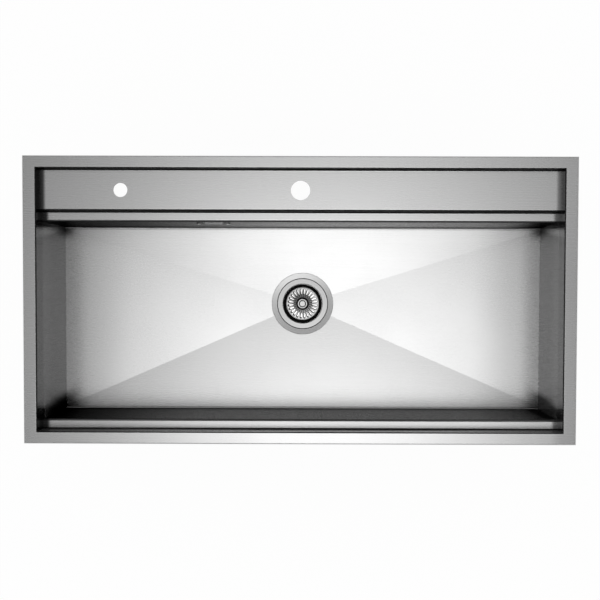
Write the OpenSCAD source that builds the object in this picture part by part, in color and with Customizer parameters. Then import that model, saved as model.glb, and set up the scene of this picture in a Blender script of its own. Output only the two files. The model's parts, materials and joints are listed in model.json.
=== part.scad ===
// Inset kitchen sink in folded stainless sheet, with a recessed tap deck, two accessory
// ledges, a creased floor, an overflow and a basket strainer waste. It hangs in a worktop
// by its rim. Origin: centre of the cut-out, on the worktop's top surface. X runs left to
// right, Y from front to back, Z up. All sizes are in millimetres.

/* [Rim] */
// Length of the rim, left to right
rim_l = 1000; // [900:5:1200]
// Width of the rim, front to back
rim_w = 520; // [500:5:600]
// Width of the rim's band at the left and right ends
rim_side = 24; // [24:1:40]
// Width of the rim's band along the front and the back
rim_long = 22; // [22:1:40]
// Thickness of the stainless sheet
sheet_t = 1.2; // [1:0.1:1.5]
// Inner radius of the rim's small folds
rim_fold = 0.8; // [0.6:0.1:1]
// How far the rim's inner leg reaches down to the walls
rim_leg = 4; // [3:0.5:6]
// Gap between the rim's outer edge and the worktop
rim_gap = 0.5; // [0.3:0.1:0.8]

/* [Rim seal] */
// Thickness of the seal between rim and worktop
seal_t = 1.5; // [1:0.1:2]
// Width of the seal
seal_w = 8; // [6:0.5:9]
// Distance from the rim's outer edge to the seal
seal_inset = 3; // [2.5:0.5:4]

/* [Bowl] */
// Inner radius of the folds in the walls
fold_r = 3; // [2:0.5:4]
// Depth from the rim's top to the floor's edge
bowl_depth = 200; // [170:5:250]
// Depth from the rim's top to the two ledges
ledge_drop = 40; // [36:1:45]
// Width of each ledge
ledge_w = 18.2; // [16:0.2:24]
// Depth from the rim's top to the tap deck
deck_drop = 20; // [18:1:24]
// Width of the tap deck, front to back
deck_w = 75.4; // [65:0.2:95]
// Width of the flat lip at the foot of the front and back walls
floor_lip = 4.5; // [4.2:0.1:8]
// How far the floor falls from its edge to the drain
floor_fall = 10; // [6:1:16]
// Distance of the drain from the rim's centre line, towards the back
drain_y = -8; // [-30:1:20]

/* [Tap deck] */
// Diameter of the tap hole
tap_hole_d = 35; // [32:0.5:36]
// Diameter of the second hole
side_hole_d = 25.5; // [22:0.5:32]
// Distance of the second hole from the tap hole, to the left
side_hole_x = 327.5; // [120:0.5:380]
// Length of the stiffening plate under the deck
brace_l = 800; // [780:5:840]
// Width of the stiffening plate
brace_w = 58; // [46:1:60]
// Thickness of the stiffening plate
brace_t = 1.5; // [1:0.1:3]
// Height of the plate's folded edges
brace_edge = 10; // [5:0.5:14]
// Room round each deck hole in the stiffening plate
brace_room = 2; // [1:0.5:4]

/* [Overflow] */
// Distance of the overflow from the drain, to the left
overflow_x = 165; // [120:5:260]
// Depth from the rim's top to the overflow's centre
overflow_drop = 78; // [72:1:100]
// Length of the overflow cover
cover_l = 64; // [62:1:70]
// Height of the overflow cover
cover_h = 30; // [28:1:36]
// Thickness of the cover's sheet
cover_t = 1.2; // [0.8:0.1:1.5]
// Width of the bevel round the cover's face
cover_bevel = 0.6; // [0.3:0.1:0.7]
// Number of slots in the cover
cover_slots = 3; // [2:1:3]
// Height of each slot in the cover
cover_slot_h = 4.6; // [4.2:0.1:5]
// Length of each slot in the cover
cover_slot_l = 34; // [28:1:36]
// Length of the opening in the wall
mouth_l = 40; // [36:1:42]
// Height of the opening in the wall
mouth_h = 22; // [18:1:22]
// Distance between the two cover screws
cover_screw_pitch = 54.5; // [53:0.5:55]
// Diameter of the cover screws
cover_screw_d = 4; // [3:0.5:4]
// Thickness of the gasket behind the wall
mouth_gasket_t = 2; // [1:0.5:3]
// Depth of the overflow housing behind the wall
housing_d = 31; // [31:1:36]
// Wall of the overflow housing
housing_wall = 2.4; // [2:0.2:3]
// Inner diameter of the overflow pipe
pipe_bore = 17; // [14:0.5:18]
// Wall of the overflow pipe
pipe_wall = 1.5; // [1.2:0.1:2]
// Radius of the elbow's bend
elbow_r = 24; // [20:1:36]
// Length of the elbow's sockets
socket_l = 14; // [10:1:20]
// Length of each threaded spigot that a union nut grips
spigot_l = 18; // [15:1:22]

/* [Waste] */
// Diameter of the hole in the floor
drain_hole_d = 90; // [88:0.5:90]
// Diameter of the waste flange
flange_d = 123.5; // [118:0.5:128]
// Diameter of the step in the flange
flange_step_d = 102; // [98:0.5:104]
// How far the flange's outer ring falls from its edge to the step
flange_fall = 1.4; // [0.6:0.1:1.4]
// Height of the step in the flange
flange_drop = 0.8; // [0.4:0.1:0.8]
// Depth of the round recess that the flange lies in
recess_depth = 2; // [1:0.5:4]
// Gap round the flange in its recess
recess_gap = 0.5; // [0.5:0.5:3]
// Thickness of the flange and its cup
flange_t = 1; // [0.8:0.1:1.2]
// Thickness of the gasket under the flange
flange_gasket_t = 2.5; // [2.2:0.1:3]
// Inner diameter of the cup's mouth
cup_d = 79; // [78:0.5:80]
// Depth of the cup
cup_h = 30; // [28:1:45]
// Width of the shoulder that the basket rests on
cup_shoulder = 3; // [2:0.5:4]
// Number of outlet holes in the cup's bottom
outlet_holes = 6; // [4:1:6]
// Diameter of the outlet holes
outlet_hole_d = 8; // [6:0.1:8.2]
// Distance from the axis to the outlet holes
outlet_ring_r = 12.2; // [12:0.1:12.3]
// Thickness of the gasket under the floor
body_gasket_t = 2; // [1:0.5:3]
// Inner diameter of the outlet body
body_bore = 92; // [90:0.5:94]
// Wall of the outlet body
body_wall = 3; // [2.5:0.1:4]
// Outer diameter of the outlet's thread, for a one and a half inch union
outlet_d = 47.8; // [46:0.1:48]
// Length of the outlet's thread
outlet_l = 24; // [18:1:30]
// Inner diameter of the outlet
outlet_bore = 40; // [36:0.5:41]
// Diameter of the clamping screw
clamp_screw_d = 8; // [6:0.5:8]

/* [Strainer] */
// Diameter of the strainer basket
basket_d = 66; // [62:0.5:68]
// Thickness of the basket's sheet
basket_t = 1; // [0.8:0.1:1.2]
// Height of the basket's skirt
basket_h = 12; // [8:1:14]
// How far the basket's plate bulges up towards the knob
basket_dome = 1.4; // [0.6:0.1:1.6]
// Number of radial slots
slot_count = 24; // [16:1:24]
// Distance from the axis to a slot's inner end
slot_in = 18.7; // [17:0.1:20]
// Distance from the axis to a slot's outer end
slot_out = 29.6; // [26:0.1:29.8]
// Width of a slot at its outer end
slot_w = 3.6; // [2.4:0.1:4]
// Diameter of the small holes inside the ring of slots
dot_d = 1.8; // [1:0.1:2]
// Distance from the axis to the small holes
dot_ring_r = 15.2; // [14.8:0.1:15.4]
// Diameter of the black bush under the knob
bush_d = 25.2; // [20:0.2:26]
// Diameter of the lift knob
knob_d = 19.6; // [16:0.2:22]
// Height of the lift knob
knob_h = 10; // [8:0.5:14]
// Diameter of the knob's stem
stem_d = 6; // [5:0.5:7]
// Diameter of the stopper
stopper_d = 38; // [38:0.5:50]
// How far the knob lifts the stopper
stopper_lift = 8; // [5:0.5:8]

/* [Fixing clips] */
// Length of the rails on the front and back walls
rail_l = 900; // [840:5:900]
// Length of the rails on the end walls
end_rail_l = 400; // [240:5:420]
// Distance between clips along the front and the back
clip_pitch = 300; // [260:5:310]
// Sheet thickness of the clips and rails
clip_t = 1.5; // [1.2:0.1:1.6]
// Width of a clip
clip_w = 20; // [16:1:30]
// How far a clip's arm lies below the worktop's surface
clip_arm_z = 55; // [50:1:60]
// Diameter of the clip screws
clip_screw_d = 5; // [4:0.5:5]
// Diameter of the pad on a clip screw
clip_pad_d = 11; // [8:0.5:11]
// How far a clip screw rises to clamp the worktop
clip_travel = 22; // [10:1:22]
// Depth of the clip screws' pads below the worktop's surface
clip_pad_z = 42; // [40:1:45]

/* [Sound pads] */
// Thickness of the sound pads
pad_t = 2.5; // [1.5:0.5:4]
// Length of the pads on the front wall and beside the overflow
wall_pad_l = 520; // [300:10:560]
// Length of the pads on the end walls
end_pad_l = 260; // [150:10:280]
// Height of the pads on the walls
wall_pad_h = 80; // [50:5:85]
// Height of the wall pads' lower edges above the floor's edge
wall_pad_rise = 12; // [5:1:20]
// Length of each pad under the floor
floor_pad_l = 330; // [200:10:350]
// Width of each pad under the floor
floor_pad_w = 250; // [150:10:260]

/* [Fits] */
// Clearance between pieces that are pushed together by hand
loose = 0.3; // [0.2:0.05:0.4]
// Clearance of a running fit, on the radius
running = 0.06; // [0.03:0.01:0.08]
// Clearance of glued sockets, on the radius
glued = 0.1; // [0.05:0.01:0.15]

/* [Hidden] */
$fn = 96;
steel = [0.74, 0.75, 0.76];
polished = [0.84, 0.85, 0.86];
zinc = [0.62, 0.64, 0.66];
black_rubber = [0.06, 0.06, 0.06];
white_plastic = [0.9, 0.9, 0.88];
pad_grey = [0.3, 0.3, 0.31];
foam = [0.2, 0.2, 0.2];

half_l = rim_l / 2;
half_w = rim_w / 2;
// inner faces of the end walls, and of the front wall and the deck's upstand
in_l = half_l - rim_side;
in_w = half_w - rim_long;
// outer faces of the same walls
out_l = in_l + sheet_t;
out_w = in_w + sheet_t;
// outer radii of the folds
fold_out = fold_r + sheet_t;
rim_out = rim_fold + sheet_t;

top_z = seal_t + sheet_t;
wall_top = top_z - rim_leg;
deck_z = top_z - deck_drop;
ledge_z = top_z - ledge_drop;
floor_z = top_z - bowl_depth;

riser_y = in_w - deck_w;
back_y = riser_y - ledge_w;
front_y = -(in_w - ledge_w);
pan_back = back_y - floor_lip;
pan_front = front_y + floor_lip;
deck_mid = (in_w + riser_y) / 2;
apex_z = floor_z - floor_fall;
// top of the round recess, on which the flange's gasket lies
seat_z = apex_z - recess_depth;
recess_r = flange_d / 2 + recess_gap;
// room that a cutting solid needs past the piece that it cuts
past = 1;
far = rim_l + rim_w;

// overflow: heights, its union nuts, and the run of its pipe
cover_head_h = 1.2;
nut_wall = 3.5;
nut_rib = 1;
nut_room = 0.8;
nut_l = 18;
nut_grip = 13;
overflow_z = top_z - overflow_drop;
behind_wall = back_y + sheet_t;
housing_y = behind_wall + mouth_gasket_t;
housing_l = cover_l + 2;
housing_h = cover_h + 8;
pipe_r = pipe_bore / 2 + pipe_wall;
spigot_r = pipe_r + 3;
spigot_y = housing_y + housing_d - spigot_r - 0.5;
spigot_foot = overflow_z - housing_h / 2 - spigot_l;
body_top = sheet_t + body_gasket_t;
body_flange_t = 5;
// the lower nut clears the flange of the outlet body
inlet_drop = body_top + body_flange_t + spigot_r + nut_wall + nut_rib + nut_room;
tail_z = seat_z - inlet_drop;
pipe_turn = atan2(drain_y - spigot_y, overflow_x);
pipe_run = sqrt(pow(drain_y - spigot_y, 2) + pow(overflow_x, 2));
inlet_end = body_bore / 2 + body_wall + spigot_l;

// waste: levels measured from the recess
cup_r = cup_d / 2;
step_r = flange_step_d / 2;
cup_seat = 8;
cup_foot = cup_h + flange_t;
ring_top = flange_gasket_t + flange_t - flange_fall - flange_drop;
ring_low = ring_top - flange_t;
basket_top = -1;
hub_z = basket_top + basket_dome;
bush_top = 2.5;
bush_l = 5;
bush_bore_r = stem_d / 2 + 3;
body_flange_r = body_bore / 2 + body_wall + 11;
bowl_foot = cup_foot + 9;
throat_z = bowl_foot + 11;
outlet_top = throat_z + 10;
outlet_foot = outlet_top + outlet_l;
boss_r = 9;
boss_l = 30;
screw_head_r = 7;
screw_head_h = 4;

// fixing rails and clips: a hooked profile, measured out from the wall and up from the worktop
rail_top = -4;
rail_foot = -13.5;
rail_out = 6.1;
rail_lip_top = rail_foot + 5.5;
hook_gap = 0.5;
hook_in = rail_out - clip_t - hook_gap - clip_t;
hook_out = rail_out + hook_gap;
web_z = rail_lip_top + loose;
clip_out = rim_long - sheet_t - hook_gap;
clip_screw_u = (hook_out + clip_t + clip_out) / 2 + 0.5;
nut_h = 4;
pad_h = 2;
clip_head_h = 4;
clip_web_h = 14;
screw_below = clip_travel + nut_h + clip_t + 2;

// Folded sheet: sections in the plane across the sink, drawn with Y to the right and Z up

// A quarter of a fold, turned by an angle
module fold(centre, turn, inner, outer) {
    translate(centre) rotate(turn) intersection() {
        difference() {
            circle(outer);
            circle(inner);
        }
        square(outer);
    }
}

// What a fold leaves free of a sharp outer corner
module fold_waste(centre, turn) {
    translate(centre) rotate(turn) difference() {
        square(fold_out + past);
        circle(fold_out);
    }
}

module box2d(x0, x1, y0, y1) {
    translate([x0, y0]) square([x1 - x0, y1 - y0]);
}

// Ledge, lower wall and floor lip of one long side, from the fold under the face at step_y,
// outwards is positive
module ledge_section(step_y) {
    wall_y = step_y - ledge_w;
    fold([step_y - fold_r, ledge_z + fold_r], -90, fold_r, fold_out);
    box2d(wall_y + fold_out, step_y - fold_r, ledge_z - sheet_t, ledge_z);
    fold([wall_y + fold_out, ledge_z - fold_out], 90, fold_r, fold_out);
    box2d(wall_y, wall_y + sheet_t, floor_z + fold_r, ledge_z - fold_out);
    fold([wall_y - fold_r, floor_z + fold_r], -90, fold_r, fold_out);
    box2d(wall_y - floor_lip, wall_y - fold_r, floor_z - sheet_t, floor_z);
}

module front_section() {
    mirror([1, 0]) ledge_section(in_w);
}

module back_section() {
    ledge_section(riser_y);
}

// Short wall between the rim and the front ledge
module upstand_section() {
    box2d(-out_w, -in_w, ledge_z + fold_r, wall_top);
}

// Upstand to the rim, deck, and riser down to the back ledge
module deck_section() {
    box2d(in_w, out_w, deck_z + fold_r, wall_top);
    fold([in_w - fold_r, deck_z + fold_r], -90, fold_r, fold_out);
    box2d(riser_y + fold_out, in_w - fold_r, deck_z - sheet_t, deck_z);
    fold([riser_y + fold_out, deck_z - fold_out], 90, fold_r, fold_out);
    box2d(riser_y, riser_y + sheet_t, ledge_z + fold_r, deck_z - fold_out);
}

// Outline of an end wall: it closes the ends of the three sections
module end_outline() {
    ledge_foot = ledge_z - sheet_t;
    floor_foot = floor_z - sheet_t;
    front_section();
    back_section();
    deck_section();
    difference() {
        polygon([
            [-out_w, wall_top], [-out_w, ledge_foot],
            [front_y - sheet_t, ledge_foot], [front_y - sheet_t, floor_foot],
            [behind_wall, floor_foot], [behind_wall, ledge_foot],
            [riser_y + sheet_t, ledge_foot], [riser_y + sheet_t, deck_z - sheet_t],
            [out_w, deck_z - sheet_t], [out_w, wall_top]
        ]);
        fold_waste([-in_w + fold_r, ledge_z + fold_r], 180);
        fold_waste([front_y + fold_r, floor_z + fold_r], 180);
        fold_waste([back_y - fold_r, floor_z + fold_r], -90);
        fold_waste([riser_y - fold_r, ledge_z + fold_r], -90);
        fold_waste([in_w - fold_r, deck_z + fold_r], -90);
    }
}

// Sweeps a section along X, centred
module along_x(l) {
    rotate([90, 0, 90]) linear_extrude(l, center = true) children();
}

// Rim

// Section of the rim's band, measured outwards from the bowl's inner face
module rim_section(band) {
    inner = rim_out;
    outer = band - rim_out;
    box2d(0, sheet_t, wall_top, top_z - rim_out);
    fold([inner, top_z - rim_out], 90, rim_fold, rim_out);
    box2d(inner, outer, top_z - sheet_t, top_z);
    fold([outer, top_z - rim_out], 0, rim_fold, rim_out);
    box2d(band - sheet_t, band, rim_gap, top_z - rim_out);
}

// One side of the rim, mitred at both ends. half is half its outer length, own and other are
// the widths of its band and of the neighbours' bands. It lies on the +Y side.
module rim_bar(half, reach, own, other) {
    near = reach - own;
    turn = 5;
    intersection() {
        translate([0, near, 0]) along_x(2 * half) rim_section(own);
        translate([0, 0, -rim_l]) linear_extrude(2 * rim_l) polygon([
            [other - half, near], [other - half - turn, near + turn],
            [turn - half, reach - turn], [-half, reach],
            [half, reach], [half - turn, reach - turn],
            [half - other + turn, near + turn], [half - other, near]
        ]);
    }
}

module rim_frame() {
    color(steel) for (side = [0, 180]) rotate([0, 0, side]) {
        rim_bar(half_l, half_w, rim_long, rim_side);
        rotate([0, 0, 90]) rim_bar(half_w, half_l, rim_side, rim_long);
    }
}

module frame2d(inset, width) {
    difference() {
        square([rim_l - 2 * inset, rim_w - 2 * inset], center = true);
        square([rim_l - 2 * (inset + width), rim_w - 2 * (inset + width)], center = true);
    }
}

module rim_seal() {
    color(black_rubber) linear_extrude(seal_t) frame2d(seal_inset, seal_w);
}

// Walls and deck

module deck_hole(x, d) {
    translate([x, deck_mid, ledge_z]) cylinder(h = ledge_drop, d = d);
}

module tap_deck() {
    color(steel) difference() {
        along_x(2 * in_l) deck_section();
        deck_hole(0, tap_hole_d);
        deck_hole(-side_hole_x, side_hole_d);
    }
}

// A slot with round ends in the plane of the back wall
module round_slot(l, h) {
    square([l - h, h], center = true);
    for (end = [-1, 1]) translate([end * (l - h) / 2, 0]) circle(d = h);
}

// Places a shape drawn in the back wall's plane, growing out of the bowl from depth y
module on_back_wall(y, t) {
    translate([-overflow_x, y + t, overflow_z]) rotate([90, 0, 0]) linear_extrude(t) children();
}

module cover_screw_places() {
    for (end = [-1, 1]) translate([end * cover_screw_pitch / 2, 0]) children();
}

module back_wall() {
    color(steel) difference() {
        along_x(2 * in_l) back_section();
        on_back_wall(back_y - past, sheet_t + 2 * past) {
            square([mouth_l, mouth_h], center = true);
            cover_screw_places() circle(d = cover_screw_d + 2 * loose);
        }
    }
}

module front_wall() {
    color(steel) along_x(2 * in_l) front_section();
}

module front_upstand() {
    color(steel) along_x(2 * in_l) upstand_section();
}

module end_wall() {
    color(steel) translate([in_l + sheet_t / 2, 0, 0]) along_x(sheet_t) end_outline();
}

module left_end_wall() {
    mirror([1, 0, 0]) end_wall();
}

module right_end_wall() {
    end_wall();
}

// Floor

// Space above a plane that falls from the line y = 0 towards +Y
module above_slope(run) {
    rotate([-atan(floor_fall / run), 0, 0]) translate([-far, -far, 0]) cube([2 * far, 2 * far, far]);
}

// Space above the floor's four slopes, which meet in creases that run to the drain
module basin(lift) {
    translate([0, 0, floor_z + lift]) intersection() {
        translate([0, pan_front, 0]) above_slope(drain_y - pan_front);
        translate([0, pan_back, 0]) rotate([0, 0, 180]) above_slope(pan_back - drain_y);
        translate([-in_l, 0, 0]) rotate([0, 0, -90]) above_slope(in_l);
        translate([in_l, 0, 0]) rotate([0, 0, 90]) above_slope(in_l);
    }
}

module over_drain(z) {
    translate([0, drain_y, z]) children();
}

module floor_pan() {
    foot = seat_z - sheet_t;
    color(steel) difference() {
        union() {
            intersection() {
                translate([-in_l, pan_front, foot])
                    cube([2 * in_l, pan_back - pan_front, floor_z - foot]);
                basin(-sheet_t);
            }
            over_drain(foot) cylinder(h = floor_z - foot, r = recess_r + sheet_t);
        }
        basin(0);
        over_drain(seat_z) cylinder(h = bowl_depth, r = recess_r);
        over_drain(foot - past) cylinder(h = bowl_depth, d = drain_hole_d);
    }
}

module deck_brace() {
    top = deck_z - sheet_t;
    edge_z = top - brace_edge;
    color(zinc) difference() {
        translate([-brace_l / 2, deck_mid - brace_w / 2, edge_z])
            cube([brace_l, brace_w, brace_edge]);
        translate([-far, deck_mid - brace_w / 2 + brace_t, edge_z - past])
            cube([2 * far, brace_w - 2 * brace_t, brace_edge - brace_t + past]);
        deck_hole(0, tap_hole_d + 2 * brace_room);
        deck_hole(-side_hole_x, side_hole_d + 2 * brace_room);
    }
}

// Overflow

// The cover lies on the wall: two round ends and the middle between them, all bevelled
module overflow_grille() {
    half_h = cover_h / 2;
    run = cover_l - cover_h;
    edge_t = cover_t - cover_bevel;
    color(steel) difference() {
        translate([-overflow_x, back_y, overflow_z]) rotate([90, 0, 0]) {
            for (end = [-1, 1]) translate([end * run / 2, 0, 0]) {
                cylinder(h = edge_t, r = half_h);
                translate([0, 0, edge_t])
                    cylinder(h = cover_bevel, r1 = half_h, r2 = half_h - cover_bevel);
            }
            along_x(run) polygon([
                [-half_h, 0], [half_h, 0], [half_h, edge_t], [half_h - cover_bevel, cover_t],
                [cover_bevel - half_h, cover_t], [-half_h, edge_t]
            ]);
        }
        on_back_wall(back_y - cover_t - past, cover_t + 2 * past) {
            for (row = [1:cover_slots])
                translate([0, (row - (cover_slots + 1) / 2) * (cover_slot_h + 3)])
                    round_slot(cover_slot_l, cover_slot_h);
            cover_screw_places() circle(d = cover_screw_d + loose);
        }
    }
}

module overflow_screws() {
    length = cover_t + sheet_t + mouth_gasket_t + housing_wall + 4;
    color(polished) on_back_wall(back_y - cover_t, length)
        cover_screw_places() circle(d = cover_screw_d - loose);
    color(polished) on_back_wall(back_y - cover_t - cover_head_h, cover_head_h)
        cover_screw_places() circle(d = cover_screw_d + 2);
}

module overflow_gasket() {
    color(foam) on_back_wall(behind_wall, mouth_gasket_t) difference() {
        square([housing_l, housing_h], center = true);
        square([mouth_l, mouth_h], center = true);
        cover_screw_places() circle(d = cover_screw_d + 2 * loose);
    }
}

module overflow_housing() {
    foot_t = housing_wall + 5;
    color(white_plastic) difference() {
        union() {
            on_back_wall(housing_y, housing_d)
                square([mouth_l + 2 * housing_wall, housing_h], center = true);
            on_back_wall(housing_y, foot_t) square([housing_l, housing_h], center = true);
            translate([-overflow_x, spigot_y, spigot_foot])
                cylinder(h = spigot_l + housing_wall, r = spigot_r);
        }
        on_back_wall(housing_y - past, housing_d - housing_wall + past)
            square([mouth_l, mouth_h], center = true);
        on_back_wall(housing_y - past, foot_t) cover_screw_places() circle(d = cover_screw_d);
        translate([-overflow_x, spigot_y, spigot_foot - past])
            cylinder(h = spigot_l + housing_h / 2, d = pipe_bore);
    }
}

module tube(l, inner, outer) {
    difference() {
        cylinder(h = l, r = outer);
        translate([0, 0, -past]) cylinder(h = l + 2 * past, r = inner);
    }
}

// Frame of the overflow's pipe: its upright part at the origin, +X towards the drain
module pipe_frame(z) {
    translate([-overflow_x, spigot_y, z]) rotate([0, 0, pipe_turn]) children();
}

module overflow_pipe() {
    foot = tail_z + elbow_r;
    color(white_plastic) pipe_frame(foot) tube(spigot_foot - foot, pipe_bore / 2, pipe_r);
}

module overflow_tail() {
    l = pipe_run - inlet_end - elbow_r;
    color(white_plastic) pipe_frame(tail_z) translate([elbow_r, 0, 0]) rotate([0, 90, 0])
        tube(l, pipe_bore / 2, pipe_r);
}

module overflow_elbow() {
    shell = 1.5;
    color(white_plastic) pipe_frame(tail_z) {
        translate([elbow_r, 0, elbow_r]) rotate([90, 0, 0]) rotate([0, 0, 180])
            rotate_extrude(angle = 90) translate([elbow_r, 0]) difference() {
                circle(pipe_r + shell);
                circle(d = pipe_bore);
            }
        translate([0, 0, elbow_r]) tube(socket_l, pipe_r + glued, pipe_r + 2 * shell);
        translate([elbow_r, 0, 0]) rotate([0, 90, 0]) tube(socket_l, pipe_r + glued, pipe_r + 2 * shell);
    }
}

// A ribbed union nut: it grips a spigot that ends at z = 0 from below, and lets the pipe through
module union_nut() {
    ribs = 16;
    difference() {
        translate([0, 0, nut_grip - nut_l]) union() {
            cylinder(h = nut_l, r = spigot_r + nut_wall);
            for (rib = [1:ribs]) rotate([0, 0, rib * 360 / ribs])
                translate([spigot_r, -1, 2]) cube([nut_wall + nut_rib, 2, nut_l - 4]);
        }
        cylinder(h = nut_l, r = spigot_r + glued);
        translate([0, 0, -nut_l]) cylinder(h = 2 * nut_l, r = pipe_r + glued);
    }
}

module overflow_nut_top() {
    color(white_plastic) pipe_frame(spigot_foot) union_nut();
}

module overflow_nut_bottom() {
    color(white_plastic) pipe_frame(tail_z) translate([pipe_run - inlet_end, 0, 0])
        rotate([0, 90, 0]) union_nut();
}

// Waste, drawn as sections round the drain's axis with the recess at zero height

module turned(z) {
    over_drain(z) rotate_extrude() children();
}

// Underside of the flange's outer ring, which the gasket fills
function ring_under(r) =
    flange_gasket_t - flange_fall * (flange_d / 2 - r) / (flange_d / 2 - step_r);

module waste_flange() {
    top = flange_gasket_t + flange_t;
    edge_r = flange_d / 2;
    lip_r = edge_r - flange_t;
    lip_z = flange_gasket_t - 0.9;
    lower_r = cup_r - cup_shoulder;
    bevel = 0.4;
    // how much further out the step lies on the underside
    lap = flange_t * tan(22.5);
    color(steel) difference() {
        turned(seat_z) polygon([
            [edge_r, lip_z], [edge_r, top - bevel], [edge_r - bevel, top],
            [step_r, top - flange_fall], [step_r - flange_drop, ring_top],
            [cup_r + 1, ring_top], [cup_r, ring_top - 0.9],
            [cup_r, -cup_seat], [lower_r, -cup_seat], [lower_r, -cup_h],
            [0, -cup_h], [0, -cup_foot],
            [lower_r + flange_t, -cup_foot], [lower_r + flange_t, -cup_seat - flange_t],
            [cup_r + flange_t, -cup_seat - flange_t], [cup_r + flange_t, ring_low],
            [step_r - flange_drop + lap, ring_low], [step_r + lap, ring_under(step_r + lap)],
            [lip_r, ring_under(lip_r)], [lip_r, lip_z]
        ]);
        over_drain(seat_z - cup_foot - past) {
            cylinder(h = flange_t + 2 * past, d = clamp_screw_d + 0.4);
            for (hole = [1:outlet_holes]) rotate([0, 0, hole * 360 / outlet_holes])
                translate([outlet_ring_r, 0, 0]) cylinder(h = flange_t + 2 * past, d = outlet_hole_d);
        }
    }
}

module flange_gasket() {
    inner = step_r + flange_t + 0.5;
    outer = flange_d / 2 - flange_t - 0.5;
    color(foam) turned(seat_z) polygon([
        [inner, 0], [outer, 0], [outer, ring_under(outer)], [inner, ring_under(inner)]
    ]);
}

module body_gasket() {
    color(foam) over_drain(seat_z - body_top)
        tube(body_gasket_t, body_bore / 2 + 1, body_flange_r - 1);
}

module waste_body() {
    bore = body_bore / 2;
    outer = bore + body_wall;
    throat = outlet_bore / 2;
    thread = outlet_d / 2;
    collar = thread + 4;
    color(white_plastic) difference() {
        union() {
            turned(seat_z) polygon([
                [bore, -body_top], [body_flange_r, -body_top],
                [body_flange_r, -body_top - body_flange_t], [outer, -body_top - body_flange_t],
                [outer, -bowl_foot], [collar, -throat_z], [collar, -outlet_top],
                [thread, -outlet_top], [thread, -outlet_foot], [throat, -outlet_foot],
                [throat, -throat_z], [bore, -bowl_foot + body_wall]
            ]);
            // boss for the clamping screw, carried by four ribs in the throat
            over_drain(seat_z - cup_foot - boss_l) cylinder(h = boss_l, r = boss_r);
            over_drain(seat_z - throat_z - 6) for (rib = [0:3]) rotate([0, 0, 45 + rib * 90])
                translate([boss_r - 2, -1.5, 0]) cube([throat - boss_r + 3, 3, 14]);
            // inlet for the overflow
            over_drain(tail_z) rotate([0, 0, pipe_turn + 180]) rotate([0, 90, 0])
                translate([0, 0, outer - 1.5]) cylinder(h = inlet_end - outer + 1.5, r = spigot_r);
        }
        over_drain(tail_z) rotate([0, 0, pipe_turn + 180]) rotate([0, 90, 0])
            translate([0, 0, bore - 3]) cylinder(h = inlet_end, d = pipe_bore);
        over_drain(seat_z - cup_foot - boss_l + 3) cylinder(h = boss_l, d = clamp_screw_d + 2 * running);
    }
}

module clamp_screw() {
    color(steel) over_drain(seat_z - cup_h) {
        difference() {
            cylinder(h = screw_head_h, r = screw_head_r);
            translate([-screw_head_r, -0.8, screw_head_h - 2]) cube([2 * screw_head_r, 1.6, 3]);
        }
        translate([0, 0, -boss_l + 4]) cylinder(h = boss_l - 4, d = clamp_screw_d);
    }
}

// Strainer

// A radial slot, round at both ends and wider outside
module strainer_slot() {
    inner_w = slot_w * 0.6;
    a = slot_in + inner_w / 2;
    b = slot_out - slot_w / 2;
    translate([a, 0]) circle(d = inner_w, $fn = 24);
    translate([b, 0]) circle(d = slot_w, $fn = 24);
    polygon([[a, -inner_w / 2], [b, -slot_w / 2], [b, slot_w / 2], [a, inner_w / 2]]);
}

// Height of the basket's plate above its edge, at a distance from the axis
function plate_z(r) = basket_dome * pow((slot_out - r) / (slot_out - bush_d / 2), 2);

module basket() {
    r = basket_d / 2;
    hub_r = bush_d / 2;
    bands = 5;
    crown = [for (i = [0:bands]) let (x = hub_r + i * (slot_out - hub_r) / bands) [x, plate_z(x)]];
    under = [for (i = [bands:-1:0]) crown[i] - [0, basket_t]];
    color(polished) over_drain(seat_z + basket_top) difference() {
        rotate_extrude() polygon(concat(
            [[bush_bore_r, basket_dome]], crown,
            [[r - 1.4, 0], [r - 0.9, 1.1], [r - 0.4, 1.1], [r, 0.6], [r, -basket_h],
                [r - basket_t, -basket_h], [r - basket_t, -basket_t]],
            under, [[bush_bore_r, basket_dome - basket_t]]
        ));
        translate([0, 0, -basket_t - past]) linear_extrude(basket_t + basket_dome + 2 * past)
            for (slot = [1:slot_count]) rotate((slot + 0.5) * 360 / slot_count) {
                strainer_slot();
                translate([dot_ring_r, 0]) circle(d = dot_d, $fn = 16);
            }
    }
}

module basket_seal() {
    inner = basket_d / 2 + glued;
    outer = cup_r - loose;
    color(black_rubber) turned(seat_z) polygon([
        [inner, basket_top - 0.4], [outer - 0.6, basket_top - 0.4], [outer, basket_top - 1],
        [outer, -cup_seat + 0.2], [inner, -cup_seat + 0.2]
    ]);
}

module stem_bush() {
    bore = stem_d / 2 + running;
    tube_r = bush_bore_r - glued;
    flange_r = bush_d / 2;
    color(black_rubber) turned(seat_z + hub_z) polygon([
        [bore, -bush_l], [tube_r, -bush_l], [tube_r, 0], [flange_r, 0], [flange_r, bush_top - 1],
        [flange_r - 1, bush_top], [bore, bush_top]
    ]);
}

module knob() {
    r = knob_d / 2;
    foot = bush_top + loose;
    top = foot + knob_h;
    color(polished) turned(seat_z + hub_z) polygon([
        [stem_d / 2 + glued, foot], [r - 3.2, foot], [r - 3.2, foot + 2], [r - 1, foot + 4.5],
        [r, foot + 6], [r, top - 0.8], [r - 0.8, top], [r - 2.7, top], [r - 3.3, top - 1.1],
        [r - 4, top - 1.1], [r - 4.6, top - 0.2], [0, top - 0.2], [0, foot + 5],
        [stem_d / 2 + glued, foot + 5]
    ]);
}

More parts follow.
